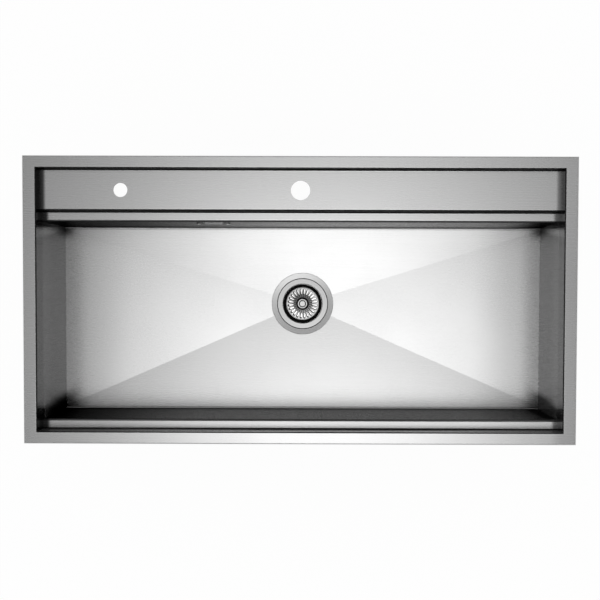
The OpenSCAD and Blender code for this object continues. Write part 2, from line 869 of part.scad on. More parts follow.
// The stem's collar meets the bush at the end of the lift
module stopper_stem() {
    foot = -cup_h + 5;
    collar = hub_z - bush_l - stopper_lift;
    top = hub_z + bush_top + loose + 5;
    r = stem_d / 2;
    color(polished) turned(seat_z) polygon([
        [0, foot], [r, foot], [r, collar - 1.5], [r + 2, collar - 1.5], [r + 2, collar],
        [r, collar], [r, top], [0, top]
    ]);
}

module stopper() {
    r = stopper_d / 2;
    bore = stem_d / 2 + glued;
    foot = 0.2 - cup_h;
    roof = 5 - cup_h;
    color(black_rubber) turned(seat_z) polygon([
        [r - 2.5, foot], [r, foot], [r, roof], [r - 2.5, roof + 3], [bore + 3, roof + 3],
        [bore + 3, roof + 8], [bore, roof + 8], [bore, roof], [r - 2.5, roof]
    ]);
}

// Fixing rails and clips

// Puts its children on the outside of a wall: X along the wall, Y outwards, Z up
module on_wall(side) {
    turns = [["back", 0, out_w], ["front", 180, out_w], ["left", 90, out_l], ["right", -90, out_l]];
    for (wall = turns) if (wall[0] == side)
        rotate([0, 0, wall[1]]) translate([0, wall[2], 0]) children();
}

module clip_rail(side, l) {
    color(zinc) on_wall(side) along_x(l) {
        box2d(0, clip_t, rail_foot, rail_top);
        box2d(0, rail_out, rail_foot, rail_foot + clip_t);
        box2d(rail_out - clip_t, rail_out, rail_foot, rail_lip_top);
    }
}

module clip_rail_front() {
    clip_rail("front", rail_l);
}

module clip_rail_back() {
    clip_rail("back", rail_l);
}

module clip_rail_left() {
    clip_rail("left", end_rail_l);
}

module clip_rail_right() {
    clip_rail("right", end_rail_l);
}

// A bent clip that hooks over the rail's lip, with webs that stiffen its arm
module clip(side, along) {
    color(zinc) on_wall(side) translate([along, 0, 0]) difference() {
        union() {
            along_x(clip_w) {
                box2d(hook_in, hook_in + clip_t, rail_foot + clip_t + loose, web_z + clip_t);
                box2d(hook_in, hook_out + clip_t, web_z, web_z + clip_t);
                box2d(hook_out, hook_out + clip_t, -clip_arm_z, web_z + clip_t);
                box2d(hook_out, clip_out, -clip_arm_z, clip_t - clip_arm_z);
            }
            for (end = [-1, 1]) translate([end * (clip_w - clip_t) / 2, 0, 0]) along_x(clip_t)
                polygon([
                    [hook_out, clip_t - clip_arm_z - 0.5], [clip_out, clip_t - clip_arm_z - 0.5],
                    [hook_out, clip_t - clip_arm_z + clip_web_h]
                ]);
            translate([0, clip_screw_u, -clip_arm_z - nut_h])
                cylinder(h = nut_h + 0.5, r = clip_screw_d * 0.9, $fn = 6);
        }
        translate([0, clip_screw_u, -clip_arm_z - nut_h - past])
            cylinder(h = nut_h + clip_t + 2 * past, d = clip_screw_d + 2 * running);
    }
}

// A screw with a slotted head below and a pressing pad on top
module clip_screw(side, along) {
    foot = -clip_arm_z - screw_below;
    color(zinc) on_wall(side) translate([along, clip_screw_u, 0]) difference() {
        union() {
            translate([0, 0, foot]) cylinder(h = -clip_pad_z - foot, d = clip_screw_d);
            translate([0, 0, -clip_pad_z - pad_h]) cylinder(h = pad_h, d = clip_pad_d);
            translate([0, 0, foot - clip_head_h]) cylinder(h = clip_head_h, r = clip_screw_d * 0.8);
        }
        translate([-clip_screw_d, -0.5, foot - clip_head_h - past])
            cube([2 * clip_screw_d, 1, past + 1.5]);
    }
}

module clip_front_left() {
    clip("front", clip_pitch);
}

module clip_front_middle() {
    clip("front", 0);
}

module clip_front_right() {
    clip("front", -clip_pitch);
}

module clip_back_left() {
    clip("back", -clip_pitch);
}

module clip_back_middle() {
    clip("back", 0);
}

module clip_back_right() {
    clip("back", clip_pitch);
}

module clip_left() {
    clip("left", 0);
}

module clip_right() {
    clip("right", 0);
}

module screw_front_left() {
    clip_screw("front", clip_pitch);
}

module screw_front_middle() {
    clip_screw("front", 0);
}

module screw_front_right() {
    clip_screw("front", -clip_pitch);
}

module screw_back_left() {
    clip_screw("back", -clip_pitch);
}

module screw_back_middle() {
    clip_screw("back", 0);
}

module screw_back_right() {
    clip_screw("back", clip_pitch);
}

module screw_left() {
    clip_screw("left", 0);
}

module screw_right() {
    clip_screw("right", 0);
}

// Sound pads

module wall_pad(l, h) {
    color(pad_grey) translate([-l / 2, 0, floor_z + wall_pad_rise]) cube([l, pad_t, h]);
}

module front_pad() {
    translate([0, front_y - sheet_t, 0]) rotate([0, 0, 180]) wall_pad(wall_pad_l, wall_pad_h);
}

module back_pad() {
    translate([wall_pad_l / 2 - overflow_x + housing_l, behind_wall, 0]) wall_pad(wall_pad_l, wall_pad_h);
}

module end_pad() {
    translate([out_l, (front_y + back_y) / 2, 0]) rotate([0, 0, -90]) wall_pad(end_pad_l, wall_pad_h);
}

module left_pad() {
    mirror([1, 0, 0]) end_pad();
}

module right_pad() {
    end_pad();
}

// A pad bonded to the underside of the creased floor
module floor_pad(side) {
    mid = side * (in_l + recess_r) / 2;
    color(pad_grey) difference() {
        intersection() {
            translate([mid - floor_pad_l / 2, (pan_front + pan_back - floor_pad_w) / 2, seat_z - far])
                cube([floor_pad_l, floor_pad_w, far + recess_depth + floor_fall]);
            basin(-sheet_t - pad_t);
        }
        basin(-sheet_t);
    }
}

module floor_pad_left() {
    floor_pad(-1);
}

module floor_pad_right() {
    floor_pad(1);
}

rim_frame();
tap_deck();
back_wall();
front_wall();
front_upstand();
left_end_wall();
right_end_wall();
floor_pan();
deck_brace();
rim_seal();
overflow_grille();
overflow_screws();
overflow_gasket();
overflow_housing();
overflow_pipe();
overflow_elbow();
overflow_tail();
overflow_nut_top();
overflow_nut_bottom();
waste_flange();
flange_gasket();
body_gasket();
waste_body();
clamp_screw();
basket();
basket_seal();
stem_bush();
knob();
stopper_stem();
stopper();
clip_rail_front();
clip_rail_back();
clip_rail_left();
clip_rail_right();
clip_front_left();
clip_front_middle();
clip_front_right();
clip_back_left();
clip_back_middle();
clip_back_right();
clip_left();
clip_right();
screw_front_left();
screw_front_middle();
screw_front_right();
screw_back_left();
screw_back_middle();
screw_back_right();
screw_left();
screw_right();
front_pad();
back_pad();
left_pad();
right_pad();
floor_pad_left();
floor_pad_right();
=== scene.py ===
# %% [markdown]
# # An inset kitchen sink in brushed stainless steel
#
# The sink is one long bowl of folded sheet with a flat rim, a recessed deck for the tap, two
# ledges for boards and racks, and a floor with four creases that fall to the strainer. Its
# solids come packed in the frame, in metres. This lesson gives them their finishes, adds what
# is too fine for the solids, such as welds and threads, and lights the sink as in a studio.

# %% The frame
import json
import math

import bmesh
import bpy
from mathutils import Matrix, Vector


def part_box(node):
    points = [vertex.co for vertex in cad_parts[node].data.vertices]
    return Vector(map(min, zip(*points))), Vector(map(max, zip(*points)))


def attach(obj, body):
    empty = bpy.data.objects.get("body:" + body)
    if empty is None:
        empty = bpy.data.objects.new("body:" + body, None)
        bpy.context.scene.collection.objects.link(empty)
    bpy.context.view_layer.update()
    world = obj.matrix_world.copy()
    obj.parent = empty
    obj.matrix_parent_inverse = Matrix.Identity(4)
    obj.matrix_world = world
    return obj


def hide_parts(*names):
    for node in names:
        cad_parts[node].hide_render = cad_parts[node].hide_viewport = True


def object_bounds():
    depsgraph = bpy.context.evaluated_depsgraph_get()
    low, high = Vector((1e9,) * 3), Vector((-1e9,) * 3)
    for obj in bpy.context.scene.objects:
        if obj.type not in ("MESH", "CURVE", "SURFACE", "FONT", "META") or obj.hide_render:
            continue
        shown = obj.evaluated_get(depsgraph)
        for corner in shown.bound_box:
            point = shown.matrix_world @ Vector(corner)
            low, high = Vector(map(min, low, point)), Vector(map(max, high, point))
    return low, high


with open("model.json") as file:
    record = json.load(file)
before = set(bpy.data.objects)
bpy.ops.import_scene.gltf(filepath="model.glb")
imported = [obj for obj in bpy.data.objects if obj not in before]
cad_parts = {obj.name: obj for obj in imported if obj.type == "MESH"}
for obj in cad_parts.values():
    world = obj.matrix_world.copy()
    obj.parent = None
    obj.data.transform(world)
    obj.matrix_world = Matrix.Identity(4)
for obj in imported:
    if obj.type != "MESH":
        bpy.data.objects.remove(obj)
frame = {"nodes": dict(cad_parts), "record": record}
cad_low, cad_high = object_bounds()
nodes = frame["nodes"]
print("pieces in the frame:", len(nodes))
print("box in metres:", [round(high - low, 4) for low, high in zip(cad_low, cad_high)])

# %% [markdown]
# ## Places that the frame gives
#
# Nothing here is measured twice. The rim, the deck, the floor and the drain say where they
# are, and later cells ask them. The drain's axis is the middle of the flange. Each ledge lies
# one bend below the deck's lowest fold, and the floor's box says where the long walls stand.

# %% Places
MM = 0.001
BEND = 3 * MM
flange_low, flange_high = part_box("waste_flange")
drain = (flange_low + flange_high) / 2
rim_low, rim_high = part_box("rim_frame")
pan_low, pan_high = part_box("floor_pan")
end_low, end_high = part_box("left_end_wall")
ledge_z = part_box("tap_deck")[0].z - BEND
print("drain axis at", round(drain.x, 4), round(drain.y, 4))
print("ledges", round((rim_high.z - ledge_z) / MM, 1), "mm below the rim's top")

# %% [markdown]
# ## The camera
#
# The photograph looks straight down, a little right of the middle and 1.7 m above the rim. A
# longer lens from higher up would hide the walls. One of 57 mm keeps the far floor smaller than
# the near rim, so that all four walls show. The camera hangs off the middle and within two
# degrees of level. Turning it more would make the rim converge, so a small shift of the lens
# centres the sink instead.

# %% Camera
SENSOR, LENS = 36.0, 56.96
SHIFT_ACROSS, SHIFT_UP = -0.0350, 0.0348
NEAREST, FARTHEST = 0.05, 60.0
STAND = (0.04184, 0.01944, 1.71366)
PITCH, ROLL, TURN = -0.03241, 0.00232, 0.00292

camera_data = bpy.data.cameras.new("camera")
camera_data.sensor_width = SENSOR
camera_data.lens = LENS
camera_data.shift_x, camera_data.shift_y = SHIFT_ACROSS, SHIFT_UP
camera_data.clip_start, camera_data.clip_end = NEAREST, FARTHEST
camera = bpy.data.objects.new("camera", camera_data)
bpy.context.scene.collection.objects.link(camera)
camera_turn = (
    Matrix.Rotation(PITCH, 4, "X") @ Matrix.Rotation(ROLL, 4, "Y") @ Matrix.Rotation(TURN, 4, "Z")
)
camera.matrix_world = Matrix.Translation(STAND) @ camera_turn
bpy.context.scene.camera = camera
bpy.context.scene.view_settings.view_transform = "Standard"
print("camera stands", round(STAND[2] - rim_high.z, 3), "m above the rim")

# %% [markdown]
# ## Helpers for node trees
#
# A material is a tree of small nodes. In the window each is placed and joined by hand. These
# helpers add a node, join two sockets and do arithmetic, so that later cells read as formulas.

# %% Node helpers
def feed(tree, socket, value):
    """Joins another socket to this one, or writes a number or colour on it."""
    if isinstance(value, bpy.types.NodeSocket):
        tree.links.new(value, socket)
    else:
        socket.default_value = value


def add_node(tree, kind, fed=(), **settings):
    """Adds a node, sets it up, feeds its inputs by name or number, and gives its outputs."""
    node = tree.nodes.new(kind)
    for name, value in settings.items():
        setattr(node, name, value)
    for name, value in dict(fed).items():
        feed(tree, node.inputs[name], value)
    return node.outputs


def maths(tree, operation, *values):
    return add_node(tree, "ShaderNodeMath", dict(enumerate(values)), operation=operation)[0]


def total(tree, first, *others):
    for other in others:
        first = maths(tree, "ADD", first, other)
    return first


def product(tree, first, *others):
    for other in others:
        first = maths(tree, "MULTIPLY", first, other)
    return first


def apart(tree, one, other):
    """How far two numbers are apart."""
    return maths(tree, "ABSOLUTE", maths(tree, "SUBTRACT", one, other))


# %% More node helpers
def ramp_between(tree, value, low, high, out_low=0.0, out_high=1.0, shape="SMOOTHSTEP"):
    """Leads value from out_low, where it is low, to out_high, where it is high."""
    fed = {"Value": value, "From Min": low, "From Max": high}
    fed.update({"To Min": out_low, "To Max": out_high})
    return add_node(tree, "ShaderNodeMapRange", fed, interpolation_type=shape)["Result"]


def between(tree, share, none, full):
    """The value none where the share is 0, and full where it is 1."""
    fed = {"Factor": share, 2: none, 3: full}
    return add_node(tree, "ShaderNodeMix", fed, data_type="FLOAT")[0]


def vector_maths(tree, operation, *vectors):
    fed = dict(enumerate(vectors))
    outputs = add_node(tree, "ShaderNodeVectorMath", fed, operation=operation)
    return outputs["Value" if operation in ("DOT_PRODUCT", "LENGTH") else "Vector"]


def scaled(tree, color, gain):
    fed = {0: color, "Scale": gain}
    return add_node(tree, "ShaderNodeVectorMath", fed, operation="SCALE")["Vector"]


def axes_of(tree, vector):
    """The three numbers of a place or a direction."""
    return tuple(add_node(tree, "ShaderNodeSeparateXYZ", {0: vector}))


def vector_of(tree, *axes):
    """A vector from its numbers, and 0 where one is left out."""
    return add_node(tree, "ShaderNodeCombineXYZ", dict(enumerate(axes)))[0]


# %% [markdown]
# ## The studio
#
# Steel has no colour of its own: it shows the room. A lamp would leave a hard spot in it, so the
# whole room is one world shader. A soft oval glow stands in the ceiling, a little towards the
# front. The mid grey ceiling round it falls off to dark, and this dark ring is what makes the
# bowl's own walls read as deep. Further down stand lighter side walls, which the outside of the
# sink shows, and at the horizon the white sweep. A direction divided by its height says where on
# the ceiling a reflection looks. Plain diffuse light is even, so that rubber and plastic show
# the colour they have, and the camera itself sees white.

# %% World
GLOW, GLOW_ACROSS, GLOW_ALONG = 2.6, 0.005, -0.12
GLOW_EDGE, GLOW_HEART, GLOW_SPREAD = 0.28, 0.04, 0.118
CEILING, CEILING_FROM, CEILING_TO = 0.425, 0.84, 0.95
UPPER_WALL = 0.015
SIDE_WALL, SIDE_FROM, SIDE_TO = 0.55, 0.84, 0.66
SWEEP, SWEEP_FROM, SWEEP_TO = 0.9, 0.14, 0.04
EVEN_LIGHT, LEAST_HEIGHT = 0.9, 0.02

world = bpy.data.worlds.new("studio")
bpy.context.scene.world = world
world.use_nodes = True
sky = world.node_tree
sky.nodes.clear()
toward = add_node(sky, "ShaderNodeTexCoord")["Generated"]
toward_x, toward_y, toward_z = axes_of(sky, toward)
height = maths(sky, "MAXIMUM", toward_z, LEAST_HEIGHT)
across = maths(sky, "DIVIDE", toward_x, height)
along = maths(sky, "DIVIDE", toward_y, height)
glow_across = ramp_between(sky, apart(sky, across, GLOW_ACROSS), GLOW_EDGE, GLOW_HEART)
spreads = maths(sky, "DIVIDE", maths(sky, "SUBTRACT", along, GLOW_ALONG), GLOW_SPREAD)
glow_along = maths(sky, "EXPONENT", product(sky, maths(sky, "POWER", spreads, 2.0), -0.5))
glow = product(sky, glow_across, glow_along, GLOW)
ceiling = ramp_between(sky, toward_z, CEILING_FROM, CEILING_TO, UPPER_WALL, CEILING)
sides = ramp_between(sky, toward_z, SIDE_FROM, SIDE_TO, 0.0, SIDE_WALL)
sweep = ramp_between(sky, toward_z, SWEEP_FROM, SWEEP_TO, 0.0, SWEEP - SIDE_WALL)

# %% World light
ray = add_node(sky, "ShaderNodeLightPath")
room = total(sky, glow, ceiling, sides, sweep)
room_light = between(sky, ray["Is Diffuse Ray"], room, EVEN_LIGHT)
strength = between(sky, ray["Is Camera Ray"], room_light, 1.0)
fed = {"Color": (1.0, 1.0, 1.0, 1.0), "Strength": strength}
background = add_node(sky, "ShaderNodeBackground", fed)
add_node(sky, "ShaderNodeOutputWorld", {"Surface": background[0]})
print("nodes in the world:", len(sky.nodes))

# %% [markdown]
# ## The floor
#
# The sink stands on a white sweep. A plain white plane would turn grey under it, and the
# photograph is white all over. So the camera and the steel see the floor lit, and it keeps only
# a small share of its own shading, which holds the sink's soft shadow.

# %% Floor
FLOOR_GAP, FLOOR_SIZE = 0.5 * MM, 30.0
FLOOR_WHITE, SHADED_SHARE = 0.95, 0.05

bpy.ops.object.select_all(action="DESELECT")
bpy.ops.mesh.primitive_plane_add(size=FLOOR_SIZE, location=(0, 0, cad_low.z - FLOOR_GAP))
floor = bpy.context.active_object
floor.name = "studio_floor"
floor_paint = bpy.data.materials.new("studio_floor_paint")
floor_paint.use_nodes = True
paint = floor_paint.node_tree
paint.nodes.clear()
shaded = add_node(paint, "ShaderNodeBsdfDiffuse", {"Color": (*(FLOOR_WHITE,) * 3, 1.0)})
lit = add_node(paint, "ShaderNodeEmission")
floor_ray = add_node(paint, "ShaderNodeLightPath")
thrown = maths(paint, "MAXIMUM", floor_ray["Is Glossy Ray"], floor_ray["Is Transmission Ray"])
seen = maths(paint, "MAXIMUM", floor_ray["Is Camera Ray"], thrown)
fed = {0: product(paint, seen, 1.0 - SHADED_SHARE), 1: shaded[0], 2: lit[0]}
floor_mix = add_node(paint, "ShaderNodeMixShader", fed)
add_node(paint, "ShaderNodeOutputMaterial", {"Surface": floor_mix[0]})
floor.data.materials.append(floor_paint)

# %% [markdown]
# ## Brush lines
#
# The sheet was ground with a belt, which leaves fine lines along it. A picture of scratches
# would repeat and blur up close. Noise that is stretched along the lines doesn't: fine noise for
# the shine, and broad noise for the tone. The group puts out a tone, a roughness and a height,
# and every finish below takes its grain from it.

# %% Group helpers
ORIGIN, UPWARDS, GREY = (0, 0, 0), (0, 0, 1), (0.6, 0.6, 0.6, 1.0)


def kind_of(value):
    """The kind of socket for a number, for a vector of three, or for a colour of four."""
    if isinstance(value, float):
        return "NodeSocketFloat"
    return "NodeSocketVector" if len(value) == 3 else "NodeSocketColor"


def new_group(name, inputs, outputs):
    """A new group, the sockets that it is given, and the sockets that it puts out."""
    group = bpy.data.node_groups.new(name, "ShaderNodeTree")
    for socket_name, value in inputs.items():
        kind = kind_of(value)
        socket = group.interface.new_socket(socket_name, in_out="INPUT", socket_type=kind)
        socket.default_value = value
    for socket_name in outputs:
        kind = kind_of(GREY if socket_name == "Color" else 0.0)
        group.interface.new_socket(socket_name, in_out="OUTPUT", socket_type=kind)
    given = add_node(group, "NodeGroupInput")
    return group, given, group.nodes.new("NodeGroupOutput").inputs


def place_group(tree, group, values):
    return add_node(tree, "ShaderNodeGroup", values, node_tree=group)


def noise(tree, place, scale, detail):
    fed = {"Vector": place, "Scale": scale, "Detail": detail}
    return add_node(tree, "ShaderNodeTexNoise", fed)["Fac"]


# %% Brushed lines group
FINE_SCALE, FINE_DETAIL = 1.0, 2.0
BROAD_SCALE, BROAD_DETAIL = 0.12, 3.0
NOISE_MIDDLE = 0.5

brushed_lines, given, put = new_group(
    "brushed_lines",
    {"Place": ORIGIN, "Color": GREY, "Roughness": 0.3, "Tone Spread": 0.05, "Rough Spread": 0.1},
    ("Color", "Roughness", "Height"),
)
fine = noise(brushed_lines, given["Place"], FINE_SCALE, FINE_DETAIL)
broad = noise(brushed_lines, given["Place"], BROAD_SCALE, BROAD_DETAIL)
tone = maths(brushed_lines, "SUBTRACT", broad, NOISE_MIDDLE)
gain = total(brushed_lines, 1.0, product(brushed_lines, tone, given["Tone Spread"]))
polish = maths(brushed_lines, "SUBTRACT", fine, NOISE_MIDDLE)
rougher = product(brushed_lines, polish, given["Rough Spread"])
feed(brushed_lines, put["Color"], scaled(brushed_lines, given["Color"], gain))
feed(brushed_lines, put["Roughness"], total(brushed_lines, given["Roughness"], rougher))
feed(brushed_lines, put["Height"], fine)
print("nodes in the brushed lines:", len(brushed_lines.nodes))

# %% [markdown]
# ## Faces that look into the sink, and faces that look out
#
# The same sheet is bright outside and dim inside, where it mostly sees more sheet. One material
# for each side would need the faces sorted by hand. Instead the side is worked out: a face that
# looks at the middle of the sink has a normal against its own place. Their dot product is below
# zero there, above zero outside, and about zero on flat faces. Faces that look down are outside
# too. Each side comes as a share, so that nothing ends in a hard line on a bend.

# %% Inner and outer faces
LOOKS_IN, SURELY_IN = -0.025, -0.08
LOOKS_OUT, SURELY_OUT = 0.03, 0.09
LOOKS_DOWN, SURELY_DOWN = -0.4, -0.7
LEVEL = (1.0, 1.0, 0.0)


def sides_of_face(tree, place, facing):
    """The shares by which a face looks into the sink, and out of it or down."""
    level_place = vector_maths(tree, "MULTIPLY", place, LEVEL)
    outward = vector_maths(tree, "DOT_PRODUCT", level_place, facing)
    inside = ramp_between(tree, outward, LOOKS_IN, SURELY_IN)
    looks_out = ramp_between(tree, outward, LOOKS_OUT, SURELY_OUT)
    looks_down = ramp_between(tree, axes_of(tree, facing)[2], LOOKS_DOWN, SURELY_DOWN)
    return inside, maths(tree, "MAXIMUM", looks_out, looks_down)


# %% [markdown]
# ## Shade on the upright faces inside the sink
#
# Seen from above, the short folds beside the ledges are nearly black lines, and the walls below
# are dim. Real light would need many more bounces than a render takes, so each band is given
# painted shade by height, a share of its colour: one share beside the ledges, one for the end
# walls between the ledges, and one for the walls below, which can gain or lose towards the ledge.

# %% Upright shade group
LOWER_ENDS, UPPER_STARTS = ledge_z - 6 * MM, ledge_z + 1 * MM
GAIN_STARTS, GAIN_ENDS = ledge_z - 75 * MM, ledge_z - 5 * MM
OVERLAP, MIDDLE_RUN = 2 * MM, 14 * MM

upright_shade, given, put = new_group(
    "upright_shade",
    {
        "Color": GREY,
        "Place": ORIGIN,
        "Facing": UPWARDS,
        "Upper Shade": 0.2,
        "Lower Shade": 0.6,
        "Ledge Gain": 1.0,
        "Middle Shade": 0.2,
    },
    ("Color", "Inside", "Outside"),
)
inside, outside = sides_of_face(upright_shade, given["Place"], given["Facing"])
_, y, z = axes_of(upright_shade, given["Place"])
near_ledge = ramp_between(upright_shade, z, GAIN_STARTS, GAIN_ENDS)
ledge_gain = between(upright_shade, near_ledge, 1.0, given["Ledge Gain"])
lower_shade = product(upright_shade, given["Lower Shade"], ledge_gain)
off_front = ramp_between(upright_shade, y, pan_low.y - OVERLAP, pan_low.y + MIDDLE_RUN)
off_back = ramp_between(upright_shade, y, pan_high.y + OVERLAP, pan_high.y - MIDDLE_RUN)
in_middle = product(upright_shade, off_front, off_back)
upper_shade = between(upright_shade, in_middle, given["Upper Shade"], given["Middle Shade"])
upper_share = ramp_between(upright_shade, z, LOWER_ENDS, UPPER_STARTS)
share = between(upright_shade, upper_share, lower_shade, upper_shade)
kept = between(upright_shade, inside, 1.0, share)
feed(upright_shade, put["Color"], scaled(upright_shade, given["Color"], kept))
feed(upright_shade, put["Inside"], inside)
feed(upright_shade, put["Outside"], outside)
print("nodes in the upright shade:", len(upright_shade.nodes))

# %% [markdown]
# ## Painted shade on the long walls towards their ends
#
# The long walls turn away from the glow, so they run to black towards the corners, and each
# one in its own way. More lamps could do it, but they would show in the floor. Painted shade
# doesn't: a gain by place darkens the colour, and each wall says how little is left at its ends,
# and how far the painted shade runs.

# %% Long walls
def wall_painted_shade(tree, x, ends):
    """Painted shade: least at both ends of the sink, and 1 beyond the run of each end."""
    gains = []
    for inwards, (least, run) in zip((1.0, -1.0), ends):
        from_end = maths(tree, "SUBTRACT", product(tree, x, inwards), end_high.x)
        gains.append(between(tree, ramp_between(tree, from_end, 0.0, run), least, 1.0))
    return product(tree, *gains)


# %% [markdown]
# ## Painted reflection at the ends of the deck and the ledges
#
# Flat steel mirrors the dark end walls in its last centimetre. At the photograph's size that is
# a sharp band, sharper than rough steel would show it, so the band is a painted reflection, a
# dark ramp a few millimetres wide. The front ledge also gets a little painted light towards its
# ends, where it sees the rim's fold.

# %% Deck and ledges
# Painted reflection: dark bands at the ends, and painted light lifting the front ledge.
LEFT_DARK, LEFT_BAND, LEFT_CLEAR = 0.12, 7 * MM, 14 * MM
RIGHT_DARK, RIGHT_BAND, RIGHT_CLEAR = 0.4, 6 * MM, 13 * MM
LIFT_LEFT, LEFT_FROM, LEFT_TO = 0.14, 0.1, -0.3
LIFT_RIGHT, RIGHT_FROM, RIGHT_TO = 0.4, 0.12, 0.47
LEDGE_RUN = 8 * MM


def ledge_painted_reflection(tree, x, y, in_recess):
    """Painted reflection on the deck and the ledges: dark at the ends, lifted on the front ledge.
    """
    left, right = end_high.x, -end_high.x
    left_band = ramp_between(tree, x, left + LEFT_BAND, left + LEFT_CLEAR, LEFT_DARK, 1.0)
    right_band = ramp_between(tree, x, right - RIGHT_BAND, right - RIGHT_CLEAR, RIGHT_DARK, 1.0)
    bands = between(tree, in_recess, 1.0, product(tree, left_band, right_band))
    lift_left = ramp_between(tree, x, LEFT_FROM, LEFT_TO, 0.0, LIFT_LEFT)
    lift_right = ramp_between(tree, x, RIGHT_FROM, RIGHT_TO, 0.0, LIFT_RIGHT)
    on_front = ramp_between(tree, y, pan_low.y + LEDGE_RUN, pan_low.y)
    lift = product(tree, total(tree, lift_left, lift_right), product(tree, in_recess, on_front))
    return product(tree, bands, total(tree, 1.0, lift))


# %% [markdown]
# ## Painted reflection on the floor's ends, and painted shade on the rim
#
# The floor dims a little at both ends, a painted reflection of the end walls that it mirrors.
# The rim's front right part has painted shade, a shade darker than the rest, as if another wall
# of the room stood there. Both are broad, so a ramp along the sink is enough.

# %% Flat faces
LEFT_END_GAIN, RIGHT_END_GAIN = 0.82, 0.78
OFF_FLOOR_FROM, OFF_FLOOR_TO = ledge_z - 20 * MM, ledge_z - 10 * MM
FLOOR_DIM, FLOOR_CLEAR = 0.43, 0.33
RECESS_ENDS, RIM_STARTS = -5 * MM, -3 * MM
RIM_PAINTED_SHADE, FAR_FROM, FAR_TO, FRONT_FROM, FRONT_TO = 0.8, 0.45, 0.475, 0.25, 0.0


def flat_painted_light_shade(tree, x, y, z, off_floor):
    """Painted shade, reflection and light of all flat faces, from the floor up to the rim."""
    under_rim = ramp_between(tree, z, RIM_STARTS, RECESS_ENDS)
    upper = ledge_painted_reflection(tree, x, y, product(tree, off_floor, under_rim))
    floor_left = ramp_between(tree, x, -FLOOR_DIM, -FLOOR_CLEAR, LEFT_END_GAIN, 1.0)
    floor_right = ramp_between(tree, x, FLOOR_DIM, FLOOR_CLEAR, RIGHT_END_GAIN, 1.0)
    below_rim = between(tree, off_floor, product(tree, floor_left, floor_right), upper)
    on_rim = ramp_between(tree, z, RECESS_ENDS, RIM_STARTS)
    far_right = ramp_between(tree, x, FAR_FROM, FAR_TO)
    to_front = ramp_between(tree, y, FRONT_FROM, FRONT_TO)
    return between(tree, product(tree, far_right, to_front, on_rim), below_rim, RIM_PAINTED_SHADE)


# %% [markdown]
# ## Painted shade in the corners of the bowl
#
# Where three sheets meet, each sees only the other two, and the corner goes black in a soft
# round patch. A render with a few bounces leaves it too light, so the patch is painted shade:
# the distance to the nearest lower corner is worked out, and the colour darkens near it. Height
# counts little in it, which draws the patch up the walls.

# %% Corners
HEIGHT_COUNTS = 0.12
FLOOR_PATCH, FLOOR_LEAST, FRONT_LEAST = 30 * MM, 0.42, 0.75
WALL_PATCH, WALL_STARTS = 28 * MM, 8 * MM
RIGHT_LEAST, LEAST_FROM, LEAST_TO = 0.45, 0.3, 0.45
BACK_HALF, FRONT_HALF = -0.01, -0.06


def corner_distance(tree, x, y, z):
    aside = total(tree, maths(tree, "ABSOLUTE", x), end_high.x)
    nearer = maths(tree, "MINIMUM", apart(tree, y, pan_low.y), apart(tree, y, pan_high.y))
    above = product(tree, maths(tree, "SUBTRACT", z, pan_low.z), HEIGHT_COUNTS)
    return vector_maths(tree, "LENGTH", vector_of(tree, aside, nearer, above))


def corner_painted_shade(tree, x, y, z, flat_share):
    """Painted shade of the floor and the walls near the bowl's four lower corners."""
    away = corner_distance(tree, x, y, z)
    at_front = ramp_between(tree, y, BACK_HALF, FRONT_HALF)
    floor_gain = ramp_between(tree, away, 0.0, FLOOR_PATCH, FLOOR_LEAST, 1.0)
    floor_gain = maths(tree, "MAXIMUM", floor_gain, product(tree, at_front, FRONT_LEAST))
    starts = between(tree, at_front, -WALL_STARTS, WALL_STARTS)
    on_wall = ramp_between(tree, maths(tree, "SUBTRACT", away, starts), 0.0, WALL_PATCH)
    right_least = ramp_between(tree, x, LEAST_FROM, LEAST_TO, 0.0, RIGHT_LEAST)
    return between(tree, flat_share, maths(tree, "MAXIMUM", on_wall, right_least), floor_gain)


# %% [markdown]
# ## All painted shade and light in one group
#
# Each sheet has flat and upright faces in one piece, so one group holds all the painted shade
# and light, and picks by the way a face looks. It puts out the colour with the painted shade in
# it, and the gain itself. On upright faces the gain counts three times in the colour, and once
# more in the material's metallic value: a metal keeps its shine at a flat angle however dark its
# colour is, and only less metal takes it away.

# %% Fading group
UPRIGHT_BELOW, FLAT_ABOVE = 0.3, 0.8
UPRIGHT_POWER, FLAT_POWER = 3.0, 1.0

painted_light_shade, given, put = new_group(
    "painted_light_shade",
    {
        "Color": GREY,
        "Place": ORIGIN,
        "Facing": UPWARDS,
        "Left Gain": 1.0,
        "Left Run": 0.5,
        "Right Gain": 1.0,
        "Right Run": 0.2,
        "Outside": 0.0,
    },
    ("Color", "Gain"),
)
x, y, z = axes_of(painted_light_shade, given["Place"])
steepness = maths(painted_light_shade, "ABSOLUTE", axes_of(painted_light_shade, given["Facing"])[2])
flat_share = ramp_between(painted_light_shade, steepness, UPRIGHT_BELOW, FLAT_ABOVE)
ends = [(given[side + " Gain"], given[side + " Run"]) for side in ("Left", "Right")]
off_floor = ramp_between(painted_light_shade, z, OFF_FLOOR_FROM, OFF_FLOOR_TO)
on_walls = wall_painted_shade(painted_light_shade, x, ends)
along_sink = between(painted_light_shade, flat_share, on_walls, flat_painted_light_shade(painted_light_shade, x, y, z, off_floor))
along_sink = between(painted_light_shade, given["Outside"], along_sink, 1.0)
no_corner = maths(painted_light_shade, "MAXIMUM", off_floor, given["Outside"])
in_corner = corner_painted_shade(painted_light_shade, x, y, z, flat_share)
gain = product(painted_light_shade, maths(painted_light_shade, "MAXIMUM", in_corner, no_corner), along_sink)
lost_power = product(painted_light_shade, flat_share, UPRIGHT_POWER - FLAT_POWER)
power = maths(painted_light_shade, "SUBTRACT", UPRIGHT_POWER, lost_power)
faded = scaled(painted_light_shade, given["Color"], maths(painted_light_shade, "POWER", gain, power))
feed(painted_light_shade, put["Color"], faded)
